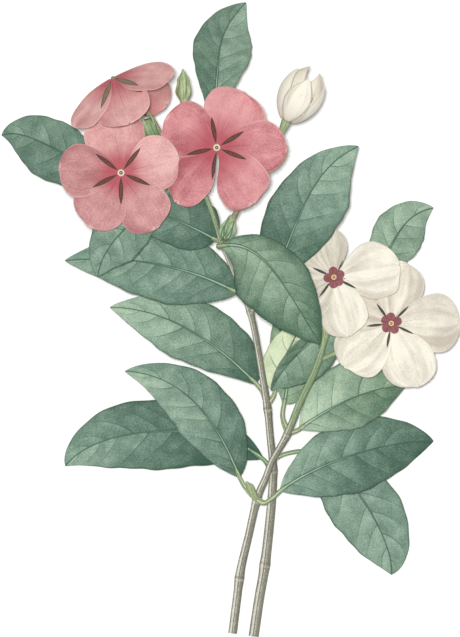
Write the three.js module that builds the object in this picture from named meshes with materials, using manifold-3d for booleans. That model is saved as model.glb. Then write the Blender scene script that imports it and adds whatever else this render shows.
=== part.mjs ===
// Two crossing cut sprays of Madagascar periwinkle, one pink and one white, lying on a surface.
// Millimetres, +X right, +Y towards the flowering end, +Z up off the surface.
import * as THREE from 'three';
import { mergeVertices } from 'three/addons/utils/BufferGeometryUtils.js';
import Module from 'manifold-3d';

const wasm = await Module();
wasm.setup();

// A point is given as the photo pixel it lies under (x, y) and its height in millimetres.
const PIXEL = 0.36;
const PLATE_CENTRE = { x: 230, y: 319 };

// Pieces that meet keep this gap in millimetres.
const CLEARANCE = 0.3;

const COLOURS = {
  leaf: { color: 0x6f9480, roughness: 0.75 },
  young: { color: 0xa3b87c, roughness: 0.7 },
  stem: { color: 0xa39a88, roughness: 0.85 },
  pink: { color: 0xdb9497, roughness: 0.7 },
  white: { color: 0xf6f0e0, roughness: 0.7 },
};

// Stems: centre line from the cut end upwards, each point with its radius in millimetres.
const STEMS = {
  stem_pink: {
    line: [
      [253, 636, 1.5, 1.75], [258, 600, 1.5, 1.7], [264, 564, 2.2, 1.7], [271, 505, 5.5, 1.5],
      [273, 468, 9, 1.45], [270, 435, 12.5, 1.3], [267, 405, 16, 1.3], [258, 350, 20, 1.15],
      [250, 312, 23, 1.1], [236, 277, 26, 1.0], [222, 243, 28.5, 1.0], [214, 221, 29, 0.9],
      [206, 200, 29.5, 0.85], [190, 165, 30, 0.85], [168, 148, 30, 0.8],
    ],
    nodes: [
      [264, 564, 2.2], [273, 468, 9], [267, 405, 16], [250, 312, 23], [222, 243, 28.5], [190, 165, 30],
    ],
  },
  stem_white: {
    line: [
      [233, 632, 1.4, 1.6], [237, 600, 1.4, 1.55], [241, 570, 2.6, 1.55], [249, 535, 6.5, 1.4],
      [257, 500, 10.6, 1.4], [264, 478, 11.8, 1.25], [272, 462, 12.7, 1.2], [280, 448, 14.2, 1.2],
      [288, 433, 16, 1.25], [300, 403, 18.5, 1.3], [312, 378, 22, 1.25], [319, 360, 24, 1.1],
      [328, 333, 24, 1.0], [345, 306, 22, 0.9],
    ],
    nodes: [[239, 576, 2.4], [257, 500, 10.6], [288, 433, 16], [319, 360, 24]],
  },
};
const NODE_SWELL = 0.45;
const NODE_REACH = 2.2;
const STEM_SIDES = 8;
const STEM_STEPS = 3;
// The flat that the lying stems rest on is cut by a slab this wide and deep.
const SLAB = { wide: 400, deep: 20 };

// Leaves: where the petiole joins, the midrib through four points from base to tip, the half
// widths left and right of it, where along it each half is widest, and how far each half lifts.
const LEAVES = {
  pink_leaf_1_left: {
    joins: [270, 469, 9],
    midrib: [[262, 459, 9.5], [198, 434, 9], [120, 437, 6], [65, 467, 0.35]],
    wide: [13.4, 11.6], fullest: [0.5, 0.56], lift: [8, 12], wave: 0.7, phase: 0.3,
  },
  pink_leaf_1_right: {
    joins: [273, 467, 9],
    midrib: [[300, 452, 8], [345, 478, 7.5], [380, 530, 5], [392, 576, 0.35]],
    wide: [11.2, 13.2], fullest: [0.56, 0.5], lift: [8, 8], wave: 0.7, phase: 1.0,
  },
  pink_leaf_2_left: {
    joins: [267, 404, 16],
    midrib: [[256, 384, 17], [217, 349, 20], [168, 320, 18], [110, 308, 10]],
    wide: [12.0, 11.6], fullest: [0.56, 0.4], lift: [22, 8], wave: 0.8, phase: 2.0,
  },
  pink_leaf_2_right: {
    joins: [267, 404, 16],
    midrib: [[275, 391, 16], [282, 366, 17], [294, 340, 16], [308, 312, 15]],
    wide: [7.0, 8.0], fullest: [0.42, 0.42], lift: [8, 8], wave: 0.3, phase: 0.0,
  },
  pink_leaf_3_left: {
    joins: [250, 312, 23],
    midrib: [[237, 293, 25], [187, 272, 26], [130, 261, 22], [65, 261, 13]],
    wide: [13.2, 11.4], fullest: [0.46, 0.42], lift: [14, 6], wave: 0.8, phase: 0.7,
  },
  pink_leaf_3_right: {
    joins: [250, 312, 23],
    midrib: [[266, 292, 26], [291, 236, 36], [316, 184, 34], [358, 147, 22]],
    wide: [12.0, 14.4], fullest: [0.42, 0.56], lift: [18, 6], wave: 0.6, phase: 1.4,
  },
  pink_leaf_4_left: {
    joins: [222, 242, 28.3],
    midrib: [[215, 240, 28.6], [190, 227, 32], [150, 211, 33], [112, 204, 31]],
    wide: [8.8, 11.0], fullest: [0.45, 0.4], lift: [6, 6], wave: 0.4, phase: 0.0,
  },
  pink_leaf_4_right: {
    joins: [223, 245, 28.8],
    midrib: [[220, 247, 30.6], [258, 256, 38], [289, 294, 42], [320, 344, 34]],
    wide: [10.8, 15.2], fullest: [0.58, 0.5], lift: [24, 6], wave: 0.5, phase: 0.0,
  },
  pink_leaf_5_top: {
    joins: [190, 165, 30],
    midrib: [[208, 128, 31], [217, 78, 29], [222, 40, 16], [246, 2, 0.35]],
    wide: [9.8, 11.4], fullest: [0.58, 0.6], lift: [20, 8], wave: 0.4, phase: 0.0,
  },
  pink_leaf_5_low: {
    joins: [190, 165, 30],
    midrib: [[172, 182, 33], [142, 214, 36], [114, 242, 36], [98, 277, 32]],
    wide: [9.6, 9.2], fullest: [0.6, 0.55], lift: [8, 8], wave: 0.5, phase: 0.5,
  },
  pink_leaf_6_left: {
    joins: [168, 148, 30],
    midrib: [[128, 160, 27], [80, 160, 21], [38, 141, 10], [1, 135, 0.35]],
    wide: [11.4, 9.8], fullest: [0.5, 0.56], lift: [8, 8], wave: 0.5, phase: 0.0,
  },
  white_leaf_1_left: {
    joins: [257, 500, 11],
    midrib: [[239, 477, 13], [219, 435, 17], [183, 393, 17], [125, 372, 9]],
    wide: [13.0, 10.6], fullest: [0.5, 0.48], lift: [34, 6], wave: 0.7, phase: 0.4,
  },
  white_leaf_1_right: {
    joins: [257, 500, 11],
    midrib: [[281, 491, 12], [325, 466, 15], [380, 448, 11], [434, 442, 0.35]],
    wide: [13.6, 13.2], fullest: [0.53, 0.5], lift: [25, 5], wave: 0.7, phase: 0.9,
  },
  white_leaf_2_up: {
    joins: [288, 433, 16],
    midrib: [[284, 404, 12.5], [287, 380, 11], [284, 350, 10], [276, 316, 9]],
    wide: [5.5, 8.6], fullest: [0.55, 0.4], lift: [4, 4], wave: 0.2, phase: 0.0,
  },
  white_leaf_2_right: {
    joins: [288, 433, 16],
    midrib: [[300, 429, 15.5], [328, 411, 18], [365, 394, 16], [406, 387, 9]],
    wide: [13.0, 12.6], fullest: [0.55, 0.56], lift: [6, 34], wave: 0.6, phase: 0.9,
  },
  white_leaf_3_down: {
    joins: [345, 306, 22],
    midrib: [[338, 316, 21.6], [310, 342, 22], [287, 366, 22], [271, 391, 20]],
    wide: [11.6, 4.6], fullest: [0.44, 0.5], lift: [-6, 50], wave: 0.3, phase: 0.0,
  },
  white_leaf_3_up: {
    joins: [345, 306, 22],
    midrib: [[362, 288, 21], [386, 256, 18], [404, 226, 10], [434, 208, 0.35]],
    wide: [8.6, 9.2], fullest: [0.56, 0.58], lift: [6, 6], wave: 0.4, phase: 0.0,
  },
};

// Young leaves stand in the axils beside the calyx of the second pink flower.
const YOUNG_LEAVES = {
  young_leaf_left: {
    joins: [219, 239, 29.5],
    midrib: [[220, 236, 33], [220.5, 231, 35.2], [223, 225, 36.2], [228, 218, 36.4]],
    wide: [1.3, 1.3], fullest: [0.5, 0.5], lift: [10, 10], wave: 0, phase: 0,
  },
  young_leaf_right: {
    joins: [225, 236, 32],
    midrib: [[228, 238, 34.6], [232, 233, 36], [234.5, 228, 36.6], [235, 222, 36.6]],
    wide: [1.5, 1.5], fullest: [0.5, 0.5], lift: [10, 10], wave: 0, phase: 0,
  },
};

// Blades: thickness, half width left at the tip, how square the outline is, how the edges droop
// and how many ripples run along an edge. The petiole sinks a little way into the blade's foot.
const BLADE = {
  thick: 0.7, tipHalf: 0.6, fullness: 0.85, edgeDroop: 0.02, ripples: 2.2, edgeShift: 1.3,
};
const PETIOLE = { radius: 0.8, youngRadius: 0.45, sinksIn: 0.08, elbow: 0.5 };
const LEAF_GRID = { along: 9, across: 4 };
const YOUNG_GRID = { along: 5, across: 2 };

// Flowers: throat centre, the way the flower faces, the tube and calyx line down to the stem, and
// five petals, each a direction in degrees, a length, a half width and a droop in degrees. A petal
// that has folded back also has the twist in degrees that it takes from its foot to its rim.
const FLOWERS = {
  pink_flower_1: {
    colour: 'pink', centre: [121.5, 174, 44], faces: [0, 0, 1],
    tube: [[121.5, 174, 44], [123, 172, 38], [136, 164, 35], [150, 156, 33.5]],
    calyx: [[150, 156, 33.5], [160, 151, 32], [168, 148, 30]],
    petals: [
      [-57, 23.4, 10.2, 5], [-123, 22.2, 10.2, 5], [177, 22.2, 10, 5], [100, 21, 11.6, 15],
      [16, 21.2, 10.4, 5],
    ],
  },
  pink_flower_2: {
    colour: 'pink', centre: [217, 149, 44], faces: [-0.1, 0.05, 0.99],
    tube: [[217, 149, 44], [220, 153, 38], [234, 185, 36], [238, 206, 35], [231, 223, 33]],
    calyx: [[231, 223, 33], [226, 232, 31.5], [221, 241, 28.5]],
    petals: [
      [-57, 24.6, 10.2, 5], [-128, 23.4, 9.8, 7], [150, 21.8, 11, 10], [65, 22.2, 11.8, 5], [1, 25, 10, 5],
    ],
  },
  pink_flower_3: {
    colour: 'pink', centre: [113, 79, 43.5], faces: [-0.453, 0.779, 0.423],
    tube: [[113, 79, 43.5], [122, 91, 40.5], [136, 106, 37.5], [146, 118, 35.5]],
    calyx: [[146, 118, 35.5], [153, 132, 33.8], [168, 148, 30]],
    petals: [
      [-33, 23.2, 10.6, 14], [25, 26, 8.5, 60, -75], [100, 22, 10, 42], [200, 22.6, 10.4, 15],
      [262, 23, 10.6, 24],
    ],
    tilt: -0.07, calyxRadius: 2.6,
  },
  white_flower_1: {
    colour: 'white', centre: [334, 278, 30], faces: [-0.2, 0.1, 0.97],
    tube: [[334, 278, 30], [333, 281, 26], [330, 300, 24.5], [327, 322, 25.5]],
    calyx: [[327, 322, 25.5], [324, 338, 25], [320, 358, 24]],
    petals: [
      [-76, 21.4, 9.4, 5], [-140, 18, 8, 5], [162, 18, 8, 5], [104, 18.6, 7.6, 5], [10, 23.6, 10.8, 5],
    ],
  },
  white_flower_2: {
    colour: 'white', centre: [391, 324, 27.5], faces: [0, 0.05, 0.998],
    tube: [[391, 324, 27.5], [387, 325, 22.5], [372, 330, 20.5], [352, 342, 20.5]],
    calyx: [[352, 342, 20.5], [338, 352, 22], [320, 360, 24]],
    petals: [
      [-66, 24.4, 10, 5], [-138, 22.8, 10.6, 5], [154, 20, 9, 8], [78, 22.6, 9.2, 5], [1, 24.6, 11, 5],
    ],
  },
};

// Petals: thickness, where they start from the throat, half width there, where they are fullest,
// how the outline rises and falls about that place, and the tilt that lets one overlap the next.
const PETAL = {
  thick: 0.7, root: 1.0, rootHalf: 0.9, fullest: 0.64, rise: 0.9, fall: 2.4, tilt: 0.07, crowd: 0.8,
};
const PETAL_GRID = { along: 7, across: 4 };
// Throat: a raised ring round a shallow mouth, above the narrow tube.
const THROAT = { radius: 1.7, ring: [-0.8, 0, 0.9], mouthRadius: 0.75, mouth: [-0.6, 0.5, 2] };
const TUBE_RADIUS = 1.1;
// Calyx: its radius swells from that of the pedicel, fullest near the tube, unless the flower has its own.
const CALYX = { radius: 1.5, pedicelRadius: 0.8, start: 0.35, run: 1.1 };

// Closed buds: the line from the stem to the pointed tip, and where along it the bud is fullest.
const BUDS = {
  green_bud: {
    line: [
      [190, 165, 30], [188.5, 140, 31.5], [186, 119, 32.4], [184.5, 104, 33], [184, 93, 33.4],
      [183.5, 82, 33.5], [183, 70, 33.5],
    ],
    radii: [0.8, 0.85, 0.9, 1.4, 2.9, 2.2, 0.35],
  },
  axillary_bud: {
    line: [[257, 499, 12], [253, 493, 14.4], [250, 488, 15], [246, 482, 15]],
    radii: [0.7, 1.2, 1.5, 0.35],
  },
};

// The half-open white bud: petals wrapped round an axis, and the green calyx and pedicel below it.
// Each petal has its turn about the axis in degrees, its reach as a share of the length, and how far
// it stands out from the round form.
const CUP = {
  foot: [288, 121, 34],
  mouth: [313, 76, 37],
  radius: 7.6,
  petals: [[0, 0.94, 0.45], [-75, 0.99, 0], [80, 0.93, 0], [-137, 1.11, -0.45], [140, 1.07, -0.45]],
  petalSpan: 46,
  grid: { along: 5, across: 4 },
  coreReach: 0.25,
  bulge: { from: 0.03, over: 0.82, power: 0.52 },
  calyx: [[288, 121, 34], [279, 137, 33], [262, 166, 32], [240, 205, 30.5], [222, 243, 28.5]],
  calyxRadii: [2.0, 1.3, 0.8, 0.8, 0.8],
};

function at([x, y, z]) {
  return new THREE.Vector3((x - PLATE_CENTRE.x) * PIXEL, (PLATE_CENTRE.y - y) * PIXEL, z);
}

// A closed solid from a list of points and triangles.
function solid(points, triangles) {
  const vertProperties = new Float32Array(points.flatMap((p) => [p.x, p.y, p.z]));
  const mesh = new wasm.Mesh({ numProp: 3, vertProperties, triVerts: new Uint32Array(triangles) });
  return new wasm.Manifold(mesh);
}

// A closed sheet: a grid of surface points, thickened half each way along the surface normal, and
// never below the resting surface.
function sheet(surface, { along, across }, thick) {
  const centre = [];
  for (let i = 0; i <= along; i += 1) {
    for (let j = 0; j <= across; j += 1) {
      centre.push(surface(i / along, (2 * j) / across - 1));
    }
  }
  const row = across + 1;
  const point = (i, j) => centre[Math.min(Math.max(i, 0), along) * row + Math.min(Math.max(j, 0), across)];
  const top = [];
  const bottom = [];
  for (let i = 0; i <= along; i += 1) {
    for (let j = 0; j <= across; j += 1) {
      const down = point(i + 1, j).clone().sub(point(i - 1, j));
      const side = point(i, j + 1).clone().sub(point(i, j - 1));
      const normal = down.cross(side).normalize().multiplyScalar(thick / 2);
      top.push(point(i, j).clone().add(normal));
      bottom.push(point(i, j).clone().sub(normal));
    }
  }
  const points = [...top, ...bottom];
  points.forEach((p) => { p.z = Math.max(p.z, 0); });
  const under = top.length;
  const triangles = [];
  const quad = (a, b, c, d) => triangles.push(a, b, c, a, c, d);
  for (let i = 0; i < along; i += 1) {
    for (let j = 0; j < across; j += 1) {
      const a = i * row + j;
      quad(a, a + row, a + row + 1, a + 1);
      const b = under + a;
      triangles.push(b, b + row + 1, b + row, b, b + 1, b + row + 1);
    }
    const left = i * row;
    const right = left + across;
    quad(left, under + left, under + left + row, left + row);
    quad(right, right + row, under + right + row, under + right);
  }
  for (let j = 0; j < across; j += 1) {
    const start = j;
    const end = along * row + j;
    quad(start, start + 1, under + start + 1, under + start);
    quad(end, under + end, under + end + 1, end + 1);
  }
  return solid(points, triangles);
}

// A round bar with closed ends through the points, its radius changing along it.
function bar(points, radiusAt, sides, steps) {
  const curve = new THREE.CatmullRomCurve3(points, false, 'catmullrom', 0.5);
  const ring = [];
  const tangent = curve.getTangent(0);
  const normal = new THREE.Vector3(0, 0, 1).addScaledVector(tangent, -tangent.z).normalize();
  for (let i = 0; i <= steps; i += 1) {
    const centre = curve.getPoint(i / steps);
    const ahead = curve.getTangent(i / steps);
    normal.addScaledVector(ahead, -normal.dot(ahead)).normalize();
    const across = ahead.clone().cross(normal);
    for (let k = 0; k < sides; k += 1) {
      const angle = (2 * Math.PI * k) / sides;
      const radius = radiusAt(i / steps, centre);
      const spoke = normal.clone().multiplyScalar(Math.cos(angle) * radius);
      ring.push(centre.clone().add(spoke).addScaledVector(across, Math.sin(angle) * radius));
    }
  }
  const triangles = [];
  for (let i = 0; i < steps; i += 1) {
    for (let k = 0; k < sides; k += 1) {
      const a = i * sides + k;
      const b = i * sides + ((k + 1) % sides);
      triangles.push(a, b, b + sides, a, b + sides, a + sides);
    }
  }
  const last = steps * sides;
  for (let k = 1; k < sides - 1; k += 1) {
    triangles.push(0, k + 1, k, last, last + k, last + k + 1);
  }
  return solid(ring, triangles);
}

// A slab under the resting surface, to cut flats on what lies on it.
function belowSurface() {
  const box = new THREE.BoxGeometry(SLAB.wide, SLAB.wide, SLAB.deep).translate(0, 0, -SLAB.deep / 2);
  box.deleteAttribute('normal');
  box.deleteAttribute('uv');
  const merged = mergeVertices(box);
  const vertProperties = merged.getAttribute('position').array;
  const mesh = new wasm.Mesh({ numProp: 3, vertProperties, triVerts: new Uint32Array(merged.index.array) });
  return new wasm.Manifold(mesh);
}

// A stem thickens a little at each node where leaves grow.
function stemSolid({ line, nodes }, grow) {
  const points = line.map(at);
  const radii = line.map((entry) => entry[3]);
  const swells = nodes.map(at);
  const radiusAt = (t, centre) => {
    const place = t * (radii.length - 1);
    const k = Math.min(Math.floor(place), radii.length - 2);
    const swell = swells.reduce((sum, p) => sum + Math.exp(-((p.distanceTo(centre) / NODE_REACH) ** 2)), 0);
    return THREE.MathUtils.lerp(radii[k], radii[k + 1], place - k) + NODE_SWELL * swell + grow;
  };
  return bar(points, radiusAt, STEM_SIDES, (points.length - 1) * STEM_STEPS);
}

// A cubic through four points, at thirds of its length.
function throughFour([p0, p1, p2, p3]) {
  const c1 = new THREE.Vector3().addScaledVector(p0, -5).addScaledVector(p1, 18);
  c1.addScaledVector(p2, -9).addScaledVector(p3, 2).divideScalar(6);
  const c2 = new THREE.Vector3().addScaledVector(p0, 2).addScaledVector(p1, -9);
  c2.addScaledVector(p2, 18).addScaledVector(p3, -5).divideScalar(6);
  return new THREE.CubicBezierCurve3(p0, c1, c2, p3);
}

// Half width along a leaf as a share of the widest, reaching 1 at the fullest place.
function leafProfile(t, fullest) {
  return Math.sin(Math.PI * t ** (Math.log(0.5) / Math.log(fullest))) ** BLADE.fullness;
}

function leafSurface(leaf) {
  const curve = throughFour(leaf.midrib.map(at));
  return (t, v) => {
    const half = v > 0 ? 0 : 1;
    const ahead = curve.getTangent(t);
    const left = new THREE.Vector3(-ahead.y, ahead.x, 0).normalize();
    const reach = Math.abs(v) * (leaf.wide[half] * leafProfile(t, leaf.fullest[half]) + BLADE.tipHalf);
    const lift = THREE.MathUtils.degToRad(leaf.lift[half]);
    const turns = 2 * Math.PI * (BLADE.ripples * t + leaf.phase) + half * BLADE.edgeShift;
    const ripple = Math.sin(turns) * Math.sin(Math.PI * t);
    const point = curve.getPoint(t).addScaledVector(left, Math.sign(v) * reach * Math.cos(lift));
    point.z += reach * Math.sin(lift) - BLADE.edgeDroop * reach ** 2 + leaf.wave * v ** 2 * ripple;
    point.z = Math.max(point.z, BLADE.thick / 2);
    return point;
  };
}

// A leaf blade with its petiole, which sinks into the foot of the blade.
function leafSolid(leaf, petioleRadius, grid) {
  const curve = throughFour(leaf.midrib.map(at));
  const base = curve.getPoint(0);
  const joint = at(leaf.joins);
  const elbow = base.clone().addScaledVector(curve.getTangent(0), -PETIOLE.elbow * base.distanceTo(joint));
  const bend = joint.clone().lerp(elbow, 0.7).lerp(base, 0.25);
  const petiole = bar([joint, bend, base, curve.getPoint(PETIOLE.sinksIn)], () => petioleRadius, 6, 6);
  return sheet(leafSurface(leaf), grid, BLADE.thick).add(petiole);
}

function flowerAxes(faces) {
  const facing = new THREE.Vector3(...faces).normalize();
  const first = new THREE.Vector3(1, 0, 0);
  if (facing.z < 0.9) first.set(facing.y, -facing.x, 0);
  first.addScaledVector(facing, -first.dot(facing)).normalize();
  return { facing, first, second: facing.clone().cross(first) };
}

function petalSurface(flower, [direction, length, half, droop, twist = 0]) {
  const { facing, first, second } = flowerAxes(flower.faces);
  const turn = THREE.MathUtils.degToRad(direction);
  const sink = THREE.MathUtils.degToRad(droop);
  const out = first.clone().multiplyScalar(Math.cos(turn)).addScaledVector(second, Math.sin(turn));
  const side = first.clone().multiplyScalar(-Math.sin(turn)).addScaledVector(second, Math.cos(turn));
  const axis = out.clone().multiplyScalar(Math.cos(sink)).addScaledVector(facing, -Math.sin(sink));
  const square = out.clone().multiplyScalar(Math.sin(sink)).addScaledVector(facing, Math.cos(sink));
  const { tilt = PETAL.tilt } = flower;
  const centre = at(flower.centre);
  return (u, v) => {
    const along = u ** PETAL.crowd;
    const rise = Math.sin((Math.PI / 2) * Math.min(along / PETAL.fullest, 1)) ** PETAL.rise;
    const past = Math.max((along - PETAL.fullest) / (1 - PETAL.fullest), 0);
    const across = v * ((half - PETAL.rootHalf) * rise * Math.sqrt(1 - past ** PETAL.fall) + PETAL.rootHalf);
    const reach = PETAL.root + (length - PETAL.root) * along;
    const turned = THREE.MathUtils.degToRad(twist) * along;
    const point = centre.clone().addScaledVector(axis, reach).addScaledVector(facing, across * tilt);
    point.addScaledVector(side, across * Math.cos(turned));
    return point.addScaledVector(square, across * Math.sin(turned));
  };
}

// Five overlapping petals, the raised throat ring and the narrow tube below it, as one corolla.
function corollaSolid(flower) {
  const { facing } = flowerAxes(flower.faces);
  const centre = at(flower.centre);
  const ring = THROAT.ring.map((rise) => centre.clone().addScaledVector(facing, rise));
  const mouth = THROAT.mouth.map((rise) => centre.clone().addScaledVector(facing, rise));
  let corolla = tubeSolid(flower, 0).add(bar(ring, () => THROAT.radius, 10, 2));
  flower.petals.forEach((petal) => {
    corolla = corolla.add(sheet(petalSurface(flower, petal), PETAL_GRID, PETAL.thick));
  });
  return corolla.subtract(bar(mouth, () => THROAT.mouthRadius, 8, 2));
}

// The calyx holds the end of the tube and narrows to the pedicel, which ends on the stem.
function calyxSolid({ calyx, calyxRadius = CALYX.radius }, grow) {
  const swell = (t) => Math.sin(Math.PI * Math.min(1, CALYX.start + t * CALYX.run)) ** 2;
  const radiusAt = (t) => CALYX.pedicelRadius + (calyxRadius - CALYX.pedicelRadius) * swell(t) + grow;
  return bar(calyx.map(at), radiusAt, 6, 6);
}

function tubeSolid({ tube }, grow) {
  return bar(tube.map(at), () => TUBE_RADIUS + grow, 6, (tube.length - 1) * 3);
}

// A bar whose radius is given at each point of its line.
function steppedBar(line, radii, grow) {
  const radiusAt = (t) => {
    const place = t * (radii.length - 1);
    const k = Math.min(Math.floor(place), radii.length - 2);
    return THREE.MathUtils.lerp(radii[k], radii[k + 1], THREE.MathUtils.smoothstep(place - k, 0, 1)) + grow;
  };
  return bar(line.map(at), radiusAt, 8, (line.length - 1) * 3);
}

// Pointed petals wrapped round an egg shape, the front one over its neighbours and two behind.
function cupSolid() {
  const foot = at(CUP.foot);
  const axis = at(CUP.mouth).sub(foot);
  const length = axis.length();
  const up = axis.normalize();
  const first = new THREE.Vector3(0, 0, 1).addScaledVector(up, -up.z).normalize();
  const second = up.clone().cross(first);
  const { from, over, power } = CUP.bulge;
  const radiusAt = (t) => CUP.radius * Math.sin(Math.PI * (from + over * t)) ** power;
  const core = [0, 0.5, 1].map((t) => foot.clone().addScaledVector(up, t * CUP.coreReach * length));
  let cup = bar(core, (t) => radiusAt(t * CUP.coreReach), 8, 2);
  CUP.petals.forEach(([turn, reach, standsOut]) => {
    const surface = (t, v) => {
      const spread = CUP.petalSpan * (0.55 + 0.45 * Math.sin(Math.PI * t)) * Math.sqrt(1 - 0.96 * t ** 4);
      const angle = THREE.MathUtils.degToRad(turn + v * spread);
      const radius = radiusAt(t * reach) + standsOut;
      const point = foot.clone().addScaledVector(up, length * reach * t);
      point.addScaledVector(first, Math.cos(angle) * radius);
      return point.addScaledVector(second, Math.sin(angle) * radius);
    };
    cup = cup.add(sheet(surface, CUP.grid, PETAL.thick));
  });
  return cup;
}

function toMesh(name, colour, manifold) {
  const pieces = manifold.decompose().sort((a, b) => b.volume() - a.volume());
  const { vertProperties, triVerts } = pieces[0].getMesh();
  const geometry = new THREE.BufferGeometry();
  geometry.setAttribute('position', new THREE.BufferAttribute(vertProperties, 3));
  geometry.setIndex(new THREE.BufferAttribute(triVerts, 1));
  geometry.computeVertexNormals();
  const mesh = new THREE.Mesh(geometry, new THREE.MeshStandardMaterial({ metalness: 0, ...COLOURS[colour] }));
  mesh.name = name;
  return mesh;
}

// What meets at a node is cut back in turn, so that each piece ends just clear of the last.
const spray = new THREE.Group();
const floor = belowSurface();
let taken = null;
function take(solidWithGap) {
  taken = taken ? taken.add(solidWithGap) : solidWithGap;
}

Object.entries(STEMS).forEach(([name, stem]) => {
  const gap = stemSolid(stem, CLEARANCE);
  const cut = taken ? stemSolid(stem, 0).subtract(taken) : stemSolid(stem, 0);
  spray.add(toMesh(name, 'stem', cut.subtract(floor)));
  take(gap);
});
Object.entries(FLOWERS).forEach(([name, flower]) => {
  spray.add(toMesh(name, flower.colour, corollaSolid(flower)));
  const cut = calyxSolid(flower, 0).subtract(taken).subtract(tubeSolid(flower, CLEARANCE));
  spray.add(toMesh(name.replace('flower', 'calyx'), 'young', cut));
  take(calyxSolid(flower, CLEARANCE));
});
const cupCalyxGap = steppedBar(CUP.calyx, CUP.calyxRadii, CLEARANCE);
spray.add(toMesh('white_bud', 'white', cupSolid().subtract(cupCalyxGap)));
spray.add(toMesh('white_bud_calyx', 'young', steppedBar(CUP.calyx, CUP.calyxRadii, 0).subtract(taken)));
take(cupCalyxGap);
Object.entries(BUDS).forEach(([name, bud]) => {
  spray.add(toMesh(name, 'young', steppedBar(bud.line, bud.radii, 0).subtract(taken)));
  take(steppedBar(bud.line, bud.radii, CLEARANCE));
});
Object.entries(LEAVES).forEach(([name, leaf]) => {
  spray.add(toMesh(name, 'leaf', leafSolid(leaf, PETIOLE.radius, LEAF_GRID).subtract(taken)));
});
Object.entries(YOUNG_LEAVES).forEach(([name, leaf]) => {
  spray.add(toMesh(name, 'young', leafSolid(leaf, PETIOLE.youngRadius, YOUNG_GRID).subtract(taken)));
});

export default spray;
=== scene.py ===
import math

import bpy
import numpy as np
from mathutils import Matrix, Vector


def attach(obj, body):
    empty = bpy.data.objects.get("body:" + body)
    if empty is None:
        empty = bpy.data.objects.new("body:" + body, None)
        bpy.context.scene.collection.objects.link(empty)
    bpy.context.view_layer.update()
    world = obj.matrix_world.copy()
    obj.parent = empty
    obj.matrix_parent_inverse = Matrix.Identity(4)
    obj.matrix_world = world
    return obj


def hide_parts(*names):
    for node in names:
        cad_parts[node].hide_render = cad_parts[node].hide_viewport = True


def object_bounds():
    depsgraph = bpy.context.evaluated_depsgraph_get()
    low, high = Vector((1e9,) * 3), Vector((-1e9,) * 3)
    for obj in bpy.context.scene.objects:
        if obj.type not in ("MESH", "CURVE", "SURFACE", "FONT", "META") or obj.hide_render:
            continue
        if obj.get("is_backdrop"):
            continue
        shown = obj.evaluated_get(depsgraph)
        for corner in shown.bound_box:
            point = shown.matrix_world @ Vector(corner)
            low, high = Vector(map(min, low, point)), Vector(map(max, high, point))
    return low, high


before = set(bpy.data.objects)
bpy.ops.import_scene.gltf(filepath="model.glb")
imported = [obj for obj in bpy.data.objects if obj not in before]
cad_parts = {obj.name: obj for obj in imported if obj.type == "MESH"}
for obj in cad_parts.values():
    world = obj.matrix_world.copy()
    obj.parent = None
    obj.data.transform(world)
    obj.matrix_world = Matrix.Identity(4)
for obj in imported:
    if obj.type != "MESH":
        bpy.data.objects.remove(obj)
cad_low, cad_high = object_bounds()

# Camera. It looks straight down, with the cut ends of the stems at the foot of the picture, through
# a very long lens, so that high flowers and low leaves keep the same scale. A pixel covers 0.36 mm.
MM = 0.001
PIXEL = 0.36 * MM
PLATE_CENTRE = (230.0, 319.0)
PHOTO_HEIGHT = 637
MIDDLE_HEIGHT = 20 * MM
LENS = 800.0
SENSOR = 36.0
SEES_TO = 30.0


def put_in_scene(name, data):
    """A new object that holds this data, at the origin."""
    obj = bpy.data.objects.new(name, data)
    bpy.context.scene.collection.objects.link(obj)
    return obj


camera_data = bpy.data.cameras.new("plate_camera")
camera_data.lens = LENS
camera_data.sensor_width = SENSOR
camera_data.clip_end = SEES_TO
camera = put_in_scene("plate_camera", camera_data)
camera.location = (0, 0, MIDDLE_HEIGHT + PHOTO_HEIGHT * PIXEL * LENS / SENSOR)
bpy.context.scene.camera = camera


# Surface and light. A matt white card lies under the sprays. A small soft lamp hangs beside the
# camera, so that the shadows stay hidden under the leaves, and a white surround fills them.
def linear(code):
    """An sRGB hex colour as linear RGBA."""
    shares = [int(code[i : i + 2], 16) / 255 for i in (1, 3, 5)]
    return [s / 12.92 if s <= 0.04045 else ((s + 0.055) / 1.055) ** 2.4 for s in shares] + [1.0]


def add(tree, kind, inputs=None, stops=None, **settings):
    """Adds a node, sets it up and fills its inputs from values or other nodes. Stops fill a ramp."""
    node = tree.nodes.new(kind)
    for key, value in settings.items():
        setattr(node, key, value)
    for key, value in (inputs or {}).items():
        if isinstance(value, bpy.types.Node):
            value = value.outputs[0]
        if isinstance(value, bpy.types.NodeSocket):
            tree.links.new(value, node.inputs[key])
        else:
            node.inputs[key].default_value = value
    if stops:
        elements = node.color_ramp.elements
        while len(elements) < len(stops):
            elements.new(0.5)
        for element, (place, code) in zip(elements, stops):
            element.position = place
            element.color = linear(code)
    return node


def start_material(name, *marks):
    """A new material, its empty tree, and the three values of each mark that the mesh gives it."""
    material = bpy.data.materials.new(name)
    material.use_nodes = True
    tree = material.node_tree
    tree.nodes.clear()
    read = []
    for key in marks:
        mark = add(tree, "ShaderNodeAttribute", attribute_name=key)
        read.append(add(tree, "ShaderNodeSeparateXYZ", {0: mark.outputs["Vector"]}).outputs)
    return material, tree, *read


def finish_material(tree, colour, height, relief, roughness, gloss, extra=None):
    """Ends a tree in its shader. Relief is how deep its height goes and how strongly it shows."""
    depth, strength = relief
    bumps = add(tree, "ShaderNodeBump", {"Height": height, "Distance": depth, "Strength": strength})
    surface = {"Base Color": colour, "Roughness": roughness, "Normal": bumps, "Specular IOR Level": gloss}
    shader = add(tree, "ShaderNodeBsdfPrincipled", {**surface, **(extra or {})})
    add(tree, "ShaderNodeOutputMaterial", {"Surface": shader})


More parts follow.
